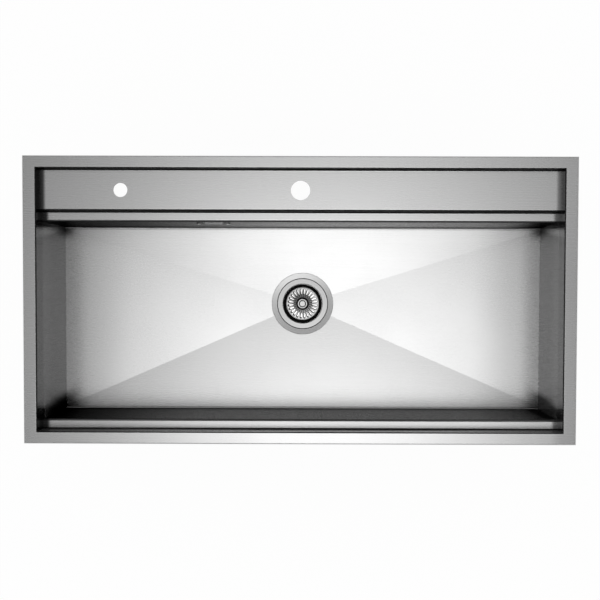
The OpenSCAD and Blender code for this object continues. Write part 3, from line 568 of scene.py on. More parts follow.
feed(painted_light_shade, put["Gain"], gain)
print("nodes in the fading group:", len(painted_light_shade.nodes))

# %% [markdown]
# ## Helpers for materials
#
# Every finish starts the same way: a new material, the place on the piece, the grain of the
# brushed lines at some scale, and a bump so fine that only the shine shows it.

# %% Material helpers
def new_material(name):
    """A material, its tree, its shader's inputs, and the place on the piece."""
    material = bpy.data.materials.new(name)
    material.use_nodes = True
    tree = material.node_tree
    place = add_node(tree, "ShaderNodeTexCoord")["Object"]
    return material, tree, tree.nodes["Principled BSDF"].inputs, place


def stretched(tree, place, scale):
    return add_node(tree, "ShaderNodeMapping", {"Scale": scale, "Vector": place})[0]


def grained(tree, place, color, rough, spreads=()):
    """The brushed lines with a tone, a roughness, and how much each one varies."""
    values = {"Place": place, "Color": (*color, 1.0), "Roughness": rough, **dict(spreads)}
    return place_group(tree, brushed_lines, values)


def coat(tree, shader, color, rough, metal=1.0):
    for name, value in (("Base Color", color), ("Roughness", rough), ("Metallic", metal)):
        feed(tree, shader[name], value)


def bumped(tree, shader, height, strength, distance):
    fed = {"Strength": strength, "Distance": distance, "Height": height}
    feed(tree, shader["Normal"], add_node(tree, "ShaderNodeBump", fed)[0])


# %% [markdown]
# ## Steel that was brushed in one direction
#
# Across the lines the steel is rough, and along them it is nearly a mirror. Tiny grooves as a
# bump would need a picture of many thousand pixels. The shader can do it by itself: it calls the
# effect anisotropic, and its tangent says which way the shine is drawn out. That is across the
# lines, square to both the lines and the surface. The lines are tilted by a hair, because on the
# cut ends of the sheet the surface faces along them, and no direction would be square to both.

# %% Brushed steel
LINE_SCALE, ALONG_LINE, LINE_TILT = 4200.0, 6.0, 0.01
BRUSH_ROUGH, BRUSH_SPREADS = 0.27, {"Tone Spread": 0.025, "Rough Spread": 0.04}
OUTSIDE_ROUGHER, INSIDE_SMOOTHER = 0.14, 0.1
CLOUD_SCALE, CLOUD_DETAIL, CLOUD_ROUGH = 9.0, 3.0, 0.03
DRAWN_OUT, BRUSH_BUMP, BRUSH_DEEP = 0.47, 0.02, 0.02 * MM
SHADE_NAMES = ("Upper Shade", "Lower Shade", "Ledge Gain", "Middle Shade")
END_NAMES = ("Left Gain", "Left Run", "Right Gain", "Right Run")


def brushed_rough(tree, place, grain, shade):
    """The grain's roughness with broad clouds in it, duller outside and smoother inside."""
    rougher = product(tree, shade["Outside"], OUTSIDE_ROUGHER)
    smoother = product(tree, shade["Inside"], INSIDE_SMOOTHER)
    cloud = maths(tree, "SUBTRACT", noise(tree, place, CLOUD_SCALE, CLOUD_DETAIL), NOISE_MIDDLE)
    cloudy = product(tree, cloud, CLOUD_ROUGH)
    by_side = maths(tree, "SUBTRACT", rougher, smoother)
    return total(tree, by_side, cloudy, grain["Roughness"])


def brushed_steel(name, lines, color, edge_shine, shades, ends):
    material, tree, shader, place = new_material(name)
    facing = add_node(tree, "ShaderNodeNewGeometry")["Normal"]
    line_scale = [ALONG_LINE if component else LINE_SCALE for component in lines]
    grain = grained(tree, stretched(tree, place, line_scale), color, BRUSH_ROUGH, BRUSH_SPREADS)
    values = {"Color": grain["Color"], "Place": place, "Facing": facing}
    shade = place_group(tree, upright_shade, {**values, **dict(zip(SHADE_NAMES, shades))})
    values.update({"Color": shade["Color"], "Outside": shade["Outside"]})
    fade = place_group(tree, painted_light_shade, {**values, **dict(zip(END_NAMES, ends))})
    # Painted shade also takes metal away on inside faces, where its gain is low.
    lost = product(tree, maths(tree, "SUBTRACT", 1.0, fade["Gain"]), shade["Inside"])
    rough = brushed_rough(tree, place, grain, shade)
    coat(tree, shader, fade["Color"], rough, maths(tree, "SUBTRACT", 1.0, lost))
    shader["Specular IOR Level"].default_value = 0.0
    shader["Specular Tint"].default_value = (edge_shine, edge_shine, edge_shine, 1.0)
    shader["Anisotropic"].default_value = DRAWN_OUT
    tilted_lines = (lines[0], lines[1], LINE_TILT)
    feed(tree, shader["Tangent"], vector_maths(tree, "CROSS_PRODUCT", facing, tilted_lines))
    bumped(tree, shader, grain["Height"], BRUSH_BUMP, BRUSH_DEEP)
    return material


# %% [markdown]
# ## Lit and shaded copies of one steel for the sheets
#
# The sheets are the same steel, but each faces the room in its own way. The long walls, the
# upstand and the two end walls get a lighter or darker copy each, with painted light and shade
# in its tone, shine and shades, and the rim, the deck and the floor share one. The end walls
# were brushed from front to back, and all others along the sink.

# %% Sheets of brushed steel
STEEL, FRONT_SHADED_STEEL, UPSTAND_LIT_STEEL = (0.62,) * 3, (0.48,) * 3, (0.9,) * 3
ALONG_X, ALONG_Y = (1.0, 0.0, 0.0), (0.0, 1.0, 0.0)
NO_FADE = (1.0, 0.5, 1.0, 0.2)
# Of each: its lines, its tone, its shine at a flat angle, its shades, and its two ends. Tone,
# shine, shades and ends hold painted light and shade.
SHEETS = {
    "sheet": (ALONG_X, STEEL, 0.6, (0.06, 0.8, 1.0, 0.06), NO_FADE),
    "back": (ALONG_X, STEEL, 0.25, (0.08, 1.5, 0.55, 0.08), (0.15, 0.6, 0.1, 0.12)),
    "front": (ALONG_X, FRONT_SHADED_STEEL, 0.36, (0.06, 1.0, 1.0, 0.06), (0.15, 0.4, 0.5, 0.2)),
    "upstand": (ALONG_X, UPSTAND_LIT_STEEL, 0.8, (1.0, 1.0, 1.0, 0.06), (0.4, 0.4, 0.5, 0.25)),
    "left_end": (ALONG_Y, STEEL, 0.68, (0.27, 1.0, 1.15, 0.9), NO_FADE),
    "right_end": (ALONG_Y, STEEL, 0.82, (0.6, 1.0, 1.2, 0.96), NO_FADE),
}
brushed = {word: brushed_steel("brushed_" + word, *look) for word, look in SHEETS.items()}
print("steels of the sheets:", ", ".join(brushed))

# %% [markdown]
# ## Rings about the drain
#
# The turned pieces at the drain change with the distance from its axis: lines, steps and
# grooves are all rings. Painting them in would need an unwrapped map of every piece. The
# distance is there at each point, so a group turns it into one value between two radii and
# another beside them, with an edge that is soft enough not to flicker.

# %% Drain rings group
SOFT_EDGE = 0.15 * MM


def out_from_drain(tree, place):
    """The level step from the drain's axis to a place."""
    step = vector_maths(tree, "SUBTRACT", place, (drain.x, drain.y, 0.0))
    return vector_maths(tree, "MULTIPLY", step, LEVEL)


def soft_step(tree, far, near):
    """0 where far is below near, 1 from a soft edge's width above it."""
    past = maths(tree, "DIVIDE", maths(tree, "SUBTRACT", far, near), SOFT_EDGE)
    return maths(tree, "MINIMUM", 1.0, maths(tree, "MAXIMUM", 0.0, past))


drain_rings, given, put = new_group(
    "drain_rings",
    {"Place": ORIGIN, "Inner": 0.0, "Outer": 0.01, "Inside Value": 1.0, "Outside Value": 0.0},
    ("Radius", "Value"),
)
radius = vector_maths(drain_rings, "LENGTH", out_from_drain(drain_rings, given["Place"]))
past_inner = soft_step(drain_rings, radius, given["Inner"])
short_of_outer = soft_step(drain_rings, given["Outer"], radius)
in_ring = product(drain_rings, past_inner, short_of_outer)
value = between(drain_rings, in_ring, given["Outside Value"], given["Inside Value"])
feed(drain_rings, put["Radius"], radius)
feed(drain_rings, put["Value"], value)


def ring(tree, place, inner, outer, inside, outside):
    """A value between two radii about the drain's axis, and another beside them."""
    radii = {"Place": place, "Inner": inner, "Outer": outer}
    return place_group(
        tree, drain_rings, {**radii, "Inside Value": inside, "Outside Value": outside}
    )


def turned_lines(tree, ring_outputs, scale):
    """A place for the grain that changes only with the radius."""
    return vector_of(tree, product(tree, ring_outputs["Radius"], scale))


# %% [markdown]
# ## The strainer's star of slots
#
# Twenty-four slots stand round the basket's plate. Their punched edges are rolled over, so each
# slot gets a dark outline of painted shade. Bevels on so many small edges would cost thousands of
# faces for a line of half a pixel. Instead the distance to the nearest slot comes from the angle,
# folded into one twenty-fourth of a turn, and from the radius, held between the centres of the
# slot's two round ends. A slot is wider at its outer end, so its half width grows with the radius.

# %% Distance to a slot
SLOTS = 24
SLOT_FROM, SLOT_TO = 19.8 * MM, 27.8 * MM
HALF_FROM, HALF_TO = 1.08 * MM, 1.8 * MM


def slot_distance(tree, radius, off_middle):
    """How far a point is from the edge of its slot, below zero inside it."""
    aside = product(tree, off_middle, math.tau / SLOTS, radius)
    held = maths(tree, "MINIMUM", maths(tree, "MAXIMUM", radius, SLOT_FROM), SLOT_TO)
    beyond = maths(tree, "SUBTRACT", radius, held)
    squares = total(tree, product(tree, beyond, beyond), product(tree, aside, aside))
    half_width = ramp_between(tree, held, SLOT_FROM, SLOT_TO, HALF_FROM, HALF_TO, "LINEAR")
    return maths(tree, "SUBTRACT", maths(tree, "SQRT", squares), half_width)


# %% [markdown]
# ## The strainer's crowned plate
#
# Between the slots the plate is crowned, and towards the hub it is pressed into folds, one for
# each slot. The solids hold the crown. The folds are shallower than a line of the render is
# wide, so they come as painted light and shade, rays of light and dark, together with painted
# shade towards the hub, the dark joint round the hub and the darker rim.

# %% Starburst group
EDGE, OUTLINE, OUTLINE_SHADE = 0.6 * MM, 1.15 * MM, 0.02
# Of each: where it starts and ends, and the gain up to its start and from its end. In turn:
# the painted shade towards the hub, the darker rim, and the dark joint round the hub.
PLATE_RINGS = (
    (18 * MM, 23 * MM, 0.55, 1.0),
    (29.5 * MM, 30.5 * MM, 1.0, 0.8),
    (12.7 * MM, 13.2 * MM, 0.02, 1.0),
)
FOLD_FROM, FOLD_TO, FOLD_SHADE = 0.1, 0.34, 0.4
FOLDS_START, FOLDS_FULL = 12.5 * MM, 14.5 * MM
FOLDS_WANE, FOLDS_END = 16.5 * MM, 20 * MM

starburst, given, put = new_group("starburst", {"Place": ORIGIN}, ("Gain",))
step = out_from_drain(starburst, given["Place"])
radius = vector_maths(starburst, "LENGTH", step)
step_x, step_y, _ = axes_of(starburst, step)
turn = maths(starburst, "ARCTAN2", step_y, step_x)
share_of_slot = maths(starburst, "FRACT", product(starburst, turn, SLOTS / math.tau))
off_middle = apart(starburst, share_of_slot, 0.5)
from_slot = slot_distance(starburst, radius, off_middle)
# Painted shade: a dark outline round each slot, for its rolled edge.
gain = ramp_between(starburst, from_slot, EDGE, OUTLINE, OUTLINE_SHADE, 1.0)
for plate_ring in PLATE_RINGS:
    gain = product(starburst, gain, ramp_between(starburst, radius, *plate_ring))
# Painted light and shade of the folds: darker rays along the slots' lines, towards the hub.
fold = ramp_between(starburst, off_middle, FOLD_FROM, FOLD_TO, FOLD_SHADE, 1.0)
in_folds = product(
    starburst,
    ramp_between(starburst, radius, FOLDS_START, FOLDS_FULL),
    ramp_between(starburst, radius, FOLDS_END, FOLDS_WANE),
)
gain = product(starburst, gain, between(starburst, in_folds, 1.0, fold))
feed(starburst, put["Gain"], gain)
print("nodes in the starburst:", len(starburst.nodes))

# %% [markdown]
# ## Turned steel of the flange
#
# The flange was brushed on a turntable, so its lines are circles about the drain, and the shine
# is drawn out towards the drain. Inside the basket's seal the cup is polished instead, so that
# it throws the light from the ceiling back up through the slots. The same piece has both, so
# the material changes over at the seal. A dark line of painted shade stands at the step between
# the two rings.

# %% Turned steel
FLANGE_ROUGH, FLANGE_SPREAD, FLANGE_DRAWN, FLANGE_LINES = 0.25, 0.04, 0.6, 2600.0
CUP_R, CUP_ROUGH, CUP_COLOR = 39.5 * MM, 0.03, (0.6, 0.6, 0.6, 1.0)
STEP_R, STEP_INNER, STEP_OUTER, STEP_SHADE = 50.2 * MM, 0.4 * MM, 1.3 * MM, 0.03
INNER_GAIN, OUTER_GAIN = 0.65, 0.86


def turned_steel(name, color):
    material, tree, shader, place = new_material(name)
    cup = ring(tree, place, -1.0, CUP_R, 1.0, 0.0)
    lines = turned_lines(tree, cup, FLANGE_LINES)
    grain = grained(tree, lines, color, FLANGE_ROUGH, {"Rough Spread": FLANGE_SPREAD})
    rings = ring(tree, place, CUP_R, STEP_R, INNER_GAIN, OUTER_GAIN)
    # Painted shade at the step between the two rings.
    step_shade = ring(tree, place, STEP_R - STEP_INNER, STEP_R + STEP_OUTER, STEP_SHADE, 1.0)
    gain = product(tree, rings["Value"], step_shade["Value"])
    fed = {"Factor": cup["Value"], 6: scaled(tree, grain["Color"], gain), 7: CUP_COLOR}
    tint = add_node(tree, "ShaderNodeMix", fed, data_type="RGBA")[2]
    coat(tree, shader, tint, between(tree, cup["Value"], grain["Roughness"], CUP_ROUGH))
    shader["Anisotropic"].default_value = FLANGE_DRAWN
    feed(tree, shader["Tangent"], out_from_drain(tree, place))
    return material


flange_steel = turned_steel("turned_flange", STEEL)


# %% [markdown]
# ## Steel of the strainer and the knob
#
# The basket is pressed and then tumbled, which leaves a fine even grain without a direction.
# The knob is turned, with one groove for the fingers. The groove is in the solids too, but it
# is so narrow that it needs a darker ring of painted shade to be read from above.

# %% Strainer steel
PLATE_GREY, PLATE_ROUGH, PLATE_SCALE = 0.52, 0.25, 900.0
TUMBLE_SCALE, TUMBLE_DETAIL, TUMBLE_BUMP, TUMBLE_DEEP = 2500.0, 2.0, 0.05, 0.02 * MM


def strainer_steel(name):
    material, tree, shader, place = new_material(name)
    star = place_group(tree, starburst, {"Place": place})
    fine_place = stretched(tree, place, (PLATE_SCALE,) * 3)
    grain = grained(tree, fine_place, (PLATE_GREY,) * 3, PLATE_ROUGH)
    coat(tree, shader, scaled(tree, grain["Color"], star["Gain"]), grain["Roughness"])
    tumbled = noise(tree, place, TUMBLE_SCALE, TUMBLE_DETAIL)
    bumped(tree, shader, tumbled, TUMBLE_BUMP, TUMBLE_DEEP)
    return material


basket_steel = strainer_steel("strainer_plate")


# %% Knob steel
KNOB_GREY, KNOB_ROUGH, KNOB_LINES = 0.42, 0.22, 3000.0
GROOVE_FROM, GROOVE_TO, GROOVE_SHADE = 5.8 * MM, 7.5 * MM, 0.03


def knob_steel(name):
    material, tree, shader, place = new_material(name)
    # Painted shade in the finger groove.
    groove = ring(tree, place, GROOVE_FROM, GROOVE_TO, GROOVE_SHADE, 1.0)
    lines = turned_lines(tree, groove, KNOB_LINES)
    grain = grained(tree, lines, (KNOB_GREY,) * 3, KNOB_ROUGH)
    coat(tree, shader, scaled(tree, grain["Color"], groove["Value"]), grain["Roughness"])
    return material


lift_knob_steel = knob_steel("lift_knob")


# %% [markdown]
# ## Rubber, zinc, foam and plastic
#
# The seals, rails and pipes hold no pattern of their own. Each could have its own tree, but one
# recipe serves them all: a tone and a grain from the same noise, with its own colour, shine and
# bump. The weld beads are steel as well, a little warmer and duller from the heat.

# %% Plain finishes
PLAIN_SCALE, PLAIN_DEEP = 400.0, 0.05 * MM
ZINC = (0.6, 0.61, 0.63)


def plain_finish(name, color, rough, metal=0.0, grain=0.1, shine=0.5):
    material, tree, shader, place = new_material(name)
    lines = grained(tree, stretched(tree, place, (PLAIN_SCALE,) * 3), color, rough)
    coat(tree, shader, lines["Color"], lines["Roughness"], metal)
    shader["Specular IOR Level"].default_value = shine
    bumped(tree, shader, lines["Height"], grain, PLAIN_DEEP)
    return material


polished = plain_finish("polished_steel", (0.66, 0.66, 0.66), 0.12, metal=1.0, grain=0.02)
zinc = plain_finish("zinc_plate", ZINC, 0.38, metal=1.0)
black_rubber = plain_finish("black_rubber", (0.004, 0.004, 0.004), 0.6, shine=0.04)
foam = plain_finish("seal_foam", (0.04, 0.04, 0.045), 0.85, grain=0.6)
white_plastic = plain_finish("white_plastic", (0.82, 0.82, 0.8), 0.4, grain=0.2)
weld_steel = plain_finish("weld_bead", (0.42, 0.41, 0.39), 0.4, metal=1.0, grain=0.15)


# %% [markdown]
# ## Damping pads
#
# Sheets of bitumen are stuck to the bowl to deaden its ring. A roller presses a net of small
# squares into them. Cutting the net into the mesh would give many thousand faces that hardly
# show, so it is a bump: the distance to the nearest line of the net, on all three axes, which
# serves the pads on every wall and under the floor.

# %% Pad weave
CELL, LINE_FROM, LINE_TO = 6 * MM, 0.5, 0.36
PAD_COLOR, PAD_ROUGH, PAD_TONE, PAD_SCALE = (0.1, 0.1, 0.105), 0.8, 0.4, 500.0
PAD_BUMP, PAD_DEEP = 0.7, 0.4 * MM


def pad_weave(name):
    material, tree, shader, place = new_material(name)
    dents = []
    for axis in axes_of(tree, place):
        share = maths(tree, "FRACT", maths(tree, "DIVIDE", axis, CELL))
        dents.append(ramp_between(tree, apart(tree, share, 0.5), LINE_FROM, LINE_TO))
    fine_place = stretched(tree, place, (PAD_SCALE,) * 3)
    grain = grained(tree, fine_place, PAD_COLOR, PAD_ROUGH, {"Tone Spread": PAD_TONE})
    coat(tree, shader, grain["Color"], grain["Roughness"], 0.0)
    bumped(tree, shader, product(tree, *dents), PAD_BUMP, PAD_DEEP)
    return material


pad = pad_weave("damping_pad")


# %% [markdown]
# ## Threads of the clip screws
#
# The eight clip screws are M5 bolts with a zinc coat. A true thread on each would be heavy for
# something so small, and they all stand upright at the same height. So the turns are a bump and
# bands by height, with painted shade in the valleys, from under the head to above the point.

# %% Threaded zinc
SCREW_PITCH, SCREW_ROUGH = 0.8 * MM, 0.36
POINT_L, HEAD_L = 3.2 * MM, 2.5 * MM
VALLEY_FROM, VALLEY_TO, VALLEY_SHADE = 0.08, 0.45, 0.35
SCREW_BUMP, SCREW_DEEP = 0.8, 0.3 * MM


def screw_zinc(name, low, high):
    """Zinc with thread turns between two heights at rest."""
    material, tree, shader, place = new_material(name)
    z = axes_of(tree, place)[2]
    turns = maths(tree, "FRACT", maths(tree, "DIVIDE", z, SCREW_PITCH))
    flank = apart(tree, turns, 0.5)
    above, below = maths(tree, "GREATER_THAN", z, low), maths(tree, "LESS_THAN", z, high)
    threaded = product(tree, above, below)
    # Painted shade in the thread's valleys.
    valley_shade = ramp_between(tree, flank, VALLEY_FROM, VALLEY_TO, VALLEY_SHADE, 1.0)
    grain = grained(tree, stretched(tree, place, (PLAIN_SCALE,) * 3), ZINC, SCREW_ROUGH)
    gain = between(tree, threaded, 1.0, valley_shade)
    coat(tree, shader, scaled(tree, grain["Color"], gain), grain["Roughness"])
    bumped(tree, shader, product(tree, flank, threaded), SCREW_BUMP, SCREW_DEEP)
    return material


screw_low, screw_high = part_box("screw_front_left")
thread_zinc = screw_zinc("threaded_zinc", screw_low.z + POINT_L, screw_high.z - HEAD_L)


# %% [markdown]
# ## A finish for every piece
#
# The frame's record names a material slot for each piece. Most pieces take the slot's finish.
# The sheets, the basket, the knob and the screws have one of their own.

# %% Finishes
finish_of_slot = {
    "brushed_steel": brushed["sheet"],
    "turned_steel": flange_steel,
    "polished_steel": polished,
    "zinc_plate": zinc,
    "black_rubber": black_rubber,
    "seal_foam": foam,
    "damping_pad": pad,
    "white_plastic": white_plastic,
}
finish_of_node = {
    "back_wall": brushed["back"],
    "overflow_grille": brushed["back"],
    "front_wall": brushed["front"],
    "front_upstand": brushed["upstand"],
    "basket": basket_steel,
    "knob": lift_knob_steel,
    "left_end_wall": brushed["left_end"],
    "right_end_wall": brushed["right_end"],
}
finish_of_node.update({name: thread_zinc for name in nodes if name.startswith("screw_")})
for part in frame["record"]["subparts"]:
    slot_finish = finish_of_slot[part["material_slot"]]
    piece = nodes[part["node"]]
    piece.data.materials.clear()
    piece.data.materials.append(finish_of_node.get(part["node"], slot_finish))
print("pieces with a finish of their own:", len(finish_of_node))

# %% [markdown]
# ## Modelling by hand
#
# What is too fine for the solids is modelled here with the same operators as in the window: a
# primitive is added, faces or edges are chosen by their place or normal, and an operator shapes
# them. The helpers keep every object's origin at the middle of the frame, and make copies that
# own their mesh.

# %% Modelling helpers
SLIGHT, SQUARE_ON = 0.01 * MM, 0.99


def begin(name, add, **settings):
    """Adds a primitive, alone in the selection, and opens it for editing."""
    bpy.ops.object.select_all(action="DESELECT")
    add(**settings)
    piece = bpy.context.active_object
    piece.name = name
    bpy.ops.object.transform_apply(location=True, rotation=True, scale=True)
    bpy.ops.object.mode_set(mode="EDIT")
    return piece


def choose(piece, kind, test):
    """Selects the faces, edges or points that pass the test, and nothing else."""
    bpy.ops.mesh.select_mode(type=kind)
    bpy.ops.mesh.select_all(action="DESELECT")
    shape = bmesh.from_edit_mesh(piece.data)
    elements = {"VERT": shape.verts, "EDGE": shape.edges, "FACE": shape.faces}[kind]
    for element in elements:
        if test(element):
            element.select_set(True)
    bmesh.update_edit_mesh(piece.data)


def close(piece, finish, smooth=35.0):
    """Leaves edit mode and gives the piece its finish."""
    bpy.ops.object.mode_set(mode="OBJECT")
    bpy.ops.object.shade_smooth_by_angle(angle=math.radians(smooth))
    piece.data.materials.append(finish)
    return piece


def copied(piece, name, move):
    """A copy with its own mesh, moved inside its object."""
    bpy.ops.object.select_all(action="DESELECT")
    piece.select_set(True)
    bpy.context.view_layer.objects.active = piece
    bpy.ops.object.duplicate(linked=False)
    twin = bpy.context.active_object
    twin.name = name
    bpy.ops.object.mode_set(mode="EDIT")
    bpy.ops.mesh.select_all(action="SELECT")
    bpy.ops.transform.translate(value=move)
    bpy.ops.object.mode_set(mode="OBJECT")
    return twin


def fasten(pieces):
    """Fixes the pieces to the sink's body."""
    for piece in pieces:
        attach(piece, "sink")
    print(len(pieces), "pieces like", pieces[0].name, "with", len(pieces[0].data.polygons), "faces")


# %% [markdown]
# ## Screws of the overflow cover
#
# Two countersunk screws hold the overflow's cover. The solids have plain discs for them. A
# boolean could cut the slot, but it leaves ragged faces. Here each is turned from one cylinder:
# the shank is drawn out of the back of the head, the front edge is rounded, and two cuts across
# the head mark the slot, which is then pushed in.

# %% Overflow screw
screws_low, screws_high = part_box("overflow_screws")
HEAD_R, HEAD_H, SHANK_R = 3 * MM, 1.2 * MM, 1.75 * MM
HEAD_ROUND = 0.35 * MM
SLOT_W, SLOT_DEEP = 0.9 * MM, 0.6 * MM
head_x = screws_low.x + HEAD_R
head_y = screws_low.y
head_z = (screws_low.z + screws_high.z) / 2

overflow_screw = begin(
    "overflow_screw_left",
    bpy.ops.mesh.primitive_cylinder_add,
    vertices=32,
    radius=HEAD_R,
    depth=HEAD_H,
    location=(head_x, head_y + HEAD_H / 2, head_z),
    rotation=(math.pi / 2, 0, 0),
)
choose(overflow_screw, "FACE", lambda face: face.normal.y > SQUARE_ON)
bpy.ops.mesh.inset(thickness=HEAD_R - SHANK_R, depth=0.0)
shank_move = (0, screws_high.y - head_y - HEAD_H, 0)
bpy.ops.mesh.extrude_region_move(TRANSFORM_OT_translate={"value": shank_move})
choose(
    overflow_screw,
    "EDGE",
    lambda edge: all(point.co.y < head_y + SLIGHT for point in edge.verts),
)
bpy.ops.mesh.bevel(offset=HEAD_ROUND, segments=3)

# %% Slot in the head
for side in (-1, 1):
    choose(
        overflow_screw,
        "FACE",
        lambda face: max(point.co.y for point in face.verts) < head_y + HEAD_H / 2,
    )
    cut_place = (head_x, head_y, head_z + side * SLOT_W / 2)
    bpy.ops.mesh.bisect(plane_co=cut_place, plane_no=(0, 0, 1))
choose(
    overflow_screw,
    "FACE",
    lambda face: face.normal.y < -SQUARE_ON
    and all(abs(point.co.z - head_z) < SLOT_W / 2 + SLIGHT for point in face.verts),
)
bpy.ops.mesh.extrude_region_move(TRANSFORM_OT_translate={"value": (0, SLOT_DEEP, 0)})
close(overflow_screw, polished)
screw_apart = screws_high.x - screws_low.x - 2 * HEAD_R
overflow_screw_right = copied(overflow_screw, "overflow_screw_right", (screw_apart, 0, 0))
fasten((overflow_screw, overflow_screw_right))
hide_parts("overflow_screws")

# %% [markdown]
# ## Weld beads
#
# The folded sheets meet at the outer corners, and there a weld closes them. Its ripples are the
# melted pool stepping along. A displaced strip would do, but its ends stay open. So a bead is a
# thin cylinder whose long edges are cut into hundreds of short ones, every second ring of
# points is swelled a little, and two insets round the ends.

# %% Weld bead
BEAD_R, RIPPLE, SWELL = 1.4 * MM, 0.9 * MM, 1.16
BEAD_SIDES, LONG_CUTS, BEAD_SMOOTH = 10, 3, 50.0
END_INSETS = ((0.3, 0.35), (0.35, 0.15))
TURN_TO_AXIS = ((0, math.pi / 2, 0), (math.pi / 2, 0, 0), (0, 0, 0))


def weld_bead(name, start, length, axis):
    """A rippled bead from a starting point along one axis."""
    middle = [value + (length / 2 if place == axis else 0) for place, value in enumerate(start)]
    bead = begin(
        name,
        bpy.ops.mesh.primitive_cylinder_add,
        vertices=BEAD_SIDES,
        radius=BEAD_R,
        depth=length,
        location=middle,
        rotation=TURN_TO_AXIS[axis],
    )
    cuts = round(length / RIPPLE / (LONG_CUTS + 1) / 2) * 2 - 1
    for number in (LONG_CUTS, cuts):
        choose(
            bead,
            "EDGE",
            lambda edge: abs((edge.verts[0].co - edge.verts[1].co)[axis]) > 10 * SLIGHT,
        )
        bpy.ops.mesh.subdivide(number_cuts=number)
    step = length / ((LONG_CUTS + 1) * (cuts + 1))
    choose(bead, "VERT", lambda point: round((point.co[axis] - start[axis]) / step) % 2 == 1)
    swell = [1.0 if place == axis else SWELL for place in range(3)]
    bpy.ops.transform.resize(value=swell, center_override=middle)
    choose(bead, "FACE", lambda face: abs(face.normal[axis]) > SQUARE_ON)
    for width_share, height_share in END_INSETS:
        bpy.ops.mesh.inset(thickness=BEAD_R * width_share, depth=BEAD_R * height_share)
    return close(bead, weld_steel, smooth=BEAD_SMOOTH)


# %% [markdown]
# ## Where the beads run
#
# On the left end two beads stand on the bowl's corners and one lies along its foot. Two short
# ones stand on the corners above the ledges, from where the sheet's bend begins up to the rim.
# The right end has the same five, as copies.

# %% Beads at the bowl
BELOW_LEDGES, ABOVE_FOOT, BELOW_BEND, FOOT_MARGIN = 30 * MM, 4 * MM, 8 * MM, 12 * MM


def outer_face(node, side, under):
    """How far a node reaches to the front (-1) or the back (1) below a height."""
    piece = nodes[node]
    points = [piece.matrix_world @ vertex.co for vertex in piece.data.vertices]
    return side * max(side * point.y for point in points if point.z < under)


front_y = outer_face("front_wall", -1, ledge_z - BELOW_LEDGES)
back_y = outer_face("back_wall", 1, ledge_z - BELOW_LEDGES)
print("outer faces of the long walls:", round(front_y, 4), round(back_y, 4))
beads = []
for word, corner_y in (("front", front_y), ("back", back_y)):
    corner = (end_low.x, corner_y, end_low.z + ABOVE_FOOT)
    beads.append(weld_bead("weld_%s_left" % word, corner, ledge_z - BELOW_BEND - corner[2], 2))
foot_y = pan_low.y + FOOT_MARGIN
foot = (end_low.x, foot_y, end_low.z)
beads.append(weld_bead("weld_foot_left", foot, pan_high.y - FOOT_MARGIN - foot_y, 1))


# %% Beads under the rim
end_points = [vertex.co for vertex in nodes["left_end_wall"].data.vertices]
for word, corner_y in (("front", end_low.y), ("back", end_high.y)):
    low = min(point.z for point in end_points if abs(point.y - corner_y) < 5 * SLIGHT)
    corner = (end_low.x, corner_y, low)
    length = rim_low.z - BEAD_R / 2 - low
    beads.append(weld_bead("weld_top_%s_left" % word, corner, length, 2))
to_right = (-2 * end_low.x, 0, 0)
beads += [copied(bead, bead.name.replace("left", "right"), to_right) for bead in tuple(beads)]
fasten(beads)

# %% [markdown]
# ## Spot welds under the deck
#
# The brace is held to the deck by spot welds. Each is a low disc with a crater that the
# electrode pressed into it. A picture of them would look flat from the side, so one is modelled
# with two insets and a bevel, and its copies stand in two rows beside the tap holes.

# %% Spot weld
brace_low, brace_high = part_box("deck_brace")
SPOT_R, SPOT_H, BRACE_T = 2.6 * MM, 0.5 * MM, 1.5 * MM
SPOT_PITCH, ROW_APART = 80 * MM, 44 * MM
SPOT_RIM, CRATER_SLOPE, CRATER_DEEP, SPOT_ROUND = 0.8 * MM, 0.7 * MM, 0.3 * MM, 0.2 * MM
spot_z = brace_high.z - BRACE_T
spot_x = brace_low.x + SPOT_PITCH / 4
spot_y = (brace_low.y + brace_high.y - ROW_APART) / 2

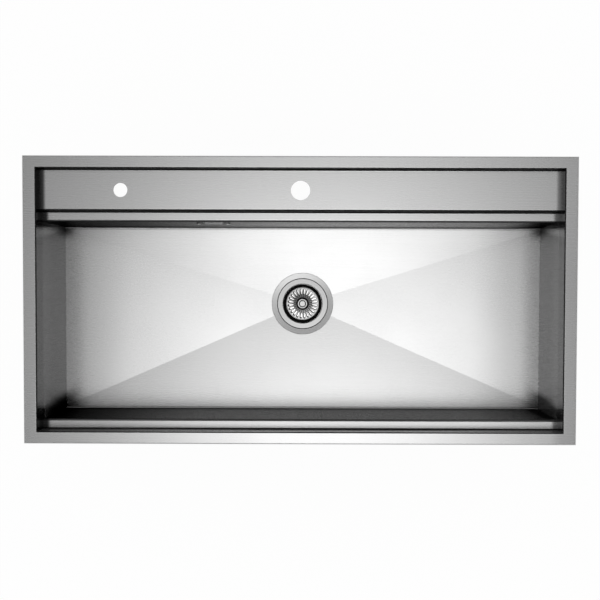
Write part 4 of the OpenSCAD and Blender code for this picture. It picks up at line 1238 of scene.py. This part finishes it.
spot = begin(
    "spot_weld_1",
    bpy.ops.mesh.primitive_cylinder_add,
    vertices=20,
    radius=SPOT_R,
    depth=SPOT_H,
    location=(spot_x, spot_y, spot_z - SPOT_H / 2),
)
choose(spot, "FACE", lambda face: face.normal.z < -SQUARE_ON)
bpy.ops.mesh.inset(thickness=SPOT_RIM, depth=0.0)
bpy.ops.mesh.inset(thickness=CRATER_SLOPE, depth=-CRATER_DEEP)
choose(
    spot,
    "EDGE",
    lambda edge: all(
        point.co.z < spot_z - SPOT_H + SLIGHT
        and math.hypot(point.co.x - spot_x, point.co.y - spot_y) > SPOT_R - SLIGHT
        for point in edge.verts
    ),
)
bpy.ops.mesh.bevel(offset=SPOT_ROUND, segments=2)
close(spot, weld_steel)

# %% Rows of spot welds
per_row = int((brace_high.x - brace_low.x - SPOT_PITCH / 2) / SPOT_PITCH) + 1
spots = [spot]
for row in range(2):
    for number in range(per_row):
        if row or number:
            move = (number * SPOT_PITCH, row * ROW_APART, 0)
            spots.append(copied(spot, "spot_weld_%d" % (len(spots) + 1), move))
fasten(spots)

# %% [markdown]
# ## Thread of the outlet
#
# A trap is screwed to the outlet, so its thread is coarse enough to be seen, unlike the clip
# screws'. It could be spun in steps by hand, but a modifier does it evenly: a small triangle is
# turned and lifted round the drain's axis by the Screw modifier. The open ends are filled in
# edit mode, and the whole thread is then moved to the outlet.

# %% Outlet thread
OUTLET_R, THREAD_R, THREAD_OUT = 23.9 * MM, 1.0 * MM, 0.2 * MM
THREAD_PITCH, THREAD_TURNS, THREAD_STEPS = 3 * MM, 7, 56
thread_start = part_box("waste_body")[0].z + 3 * MM

thread = begin(
    "outlet_thread",
    bpy.ops.mesh.primitive_circle_add,
    vertices=3,
    radius=THREAD_R,
    fill_type="NOTHING",
    location=(OUTLET_R + THREAD_OUT, 0, 0),
    rotation=(math.pi / 2, math.pi / 2, 0),
)
bpy.ops.object.mode_set(mode="OBJECT")
winding = thread.modifiers.new("winding", "SCREW")
winding.axis = "Z"
winding.screw_offset = THREAD_PITCH
winding.iterations = THREAD_TURNS
winding.steps = winding.render_steps = THREAD_STEPS
bpy.ops.object.modifier_apply(modifier="winding")
bpy.ops.object.mode_set(mode="EDIT")
bpy.ops.mesh.select_all(action="SELECT")
bpy.ops.mesh.fill_holes(sides=3)
bpy.ops.mesh.select_all(action="SELECT")
bpy.ops.mesh.normals_make_consistent(inside=False)
bpy.ops.transform.translate(value=(drain.x, drain.y, thread_start))
close(thread, white_plastic)
fasten((thread,))
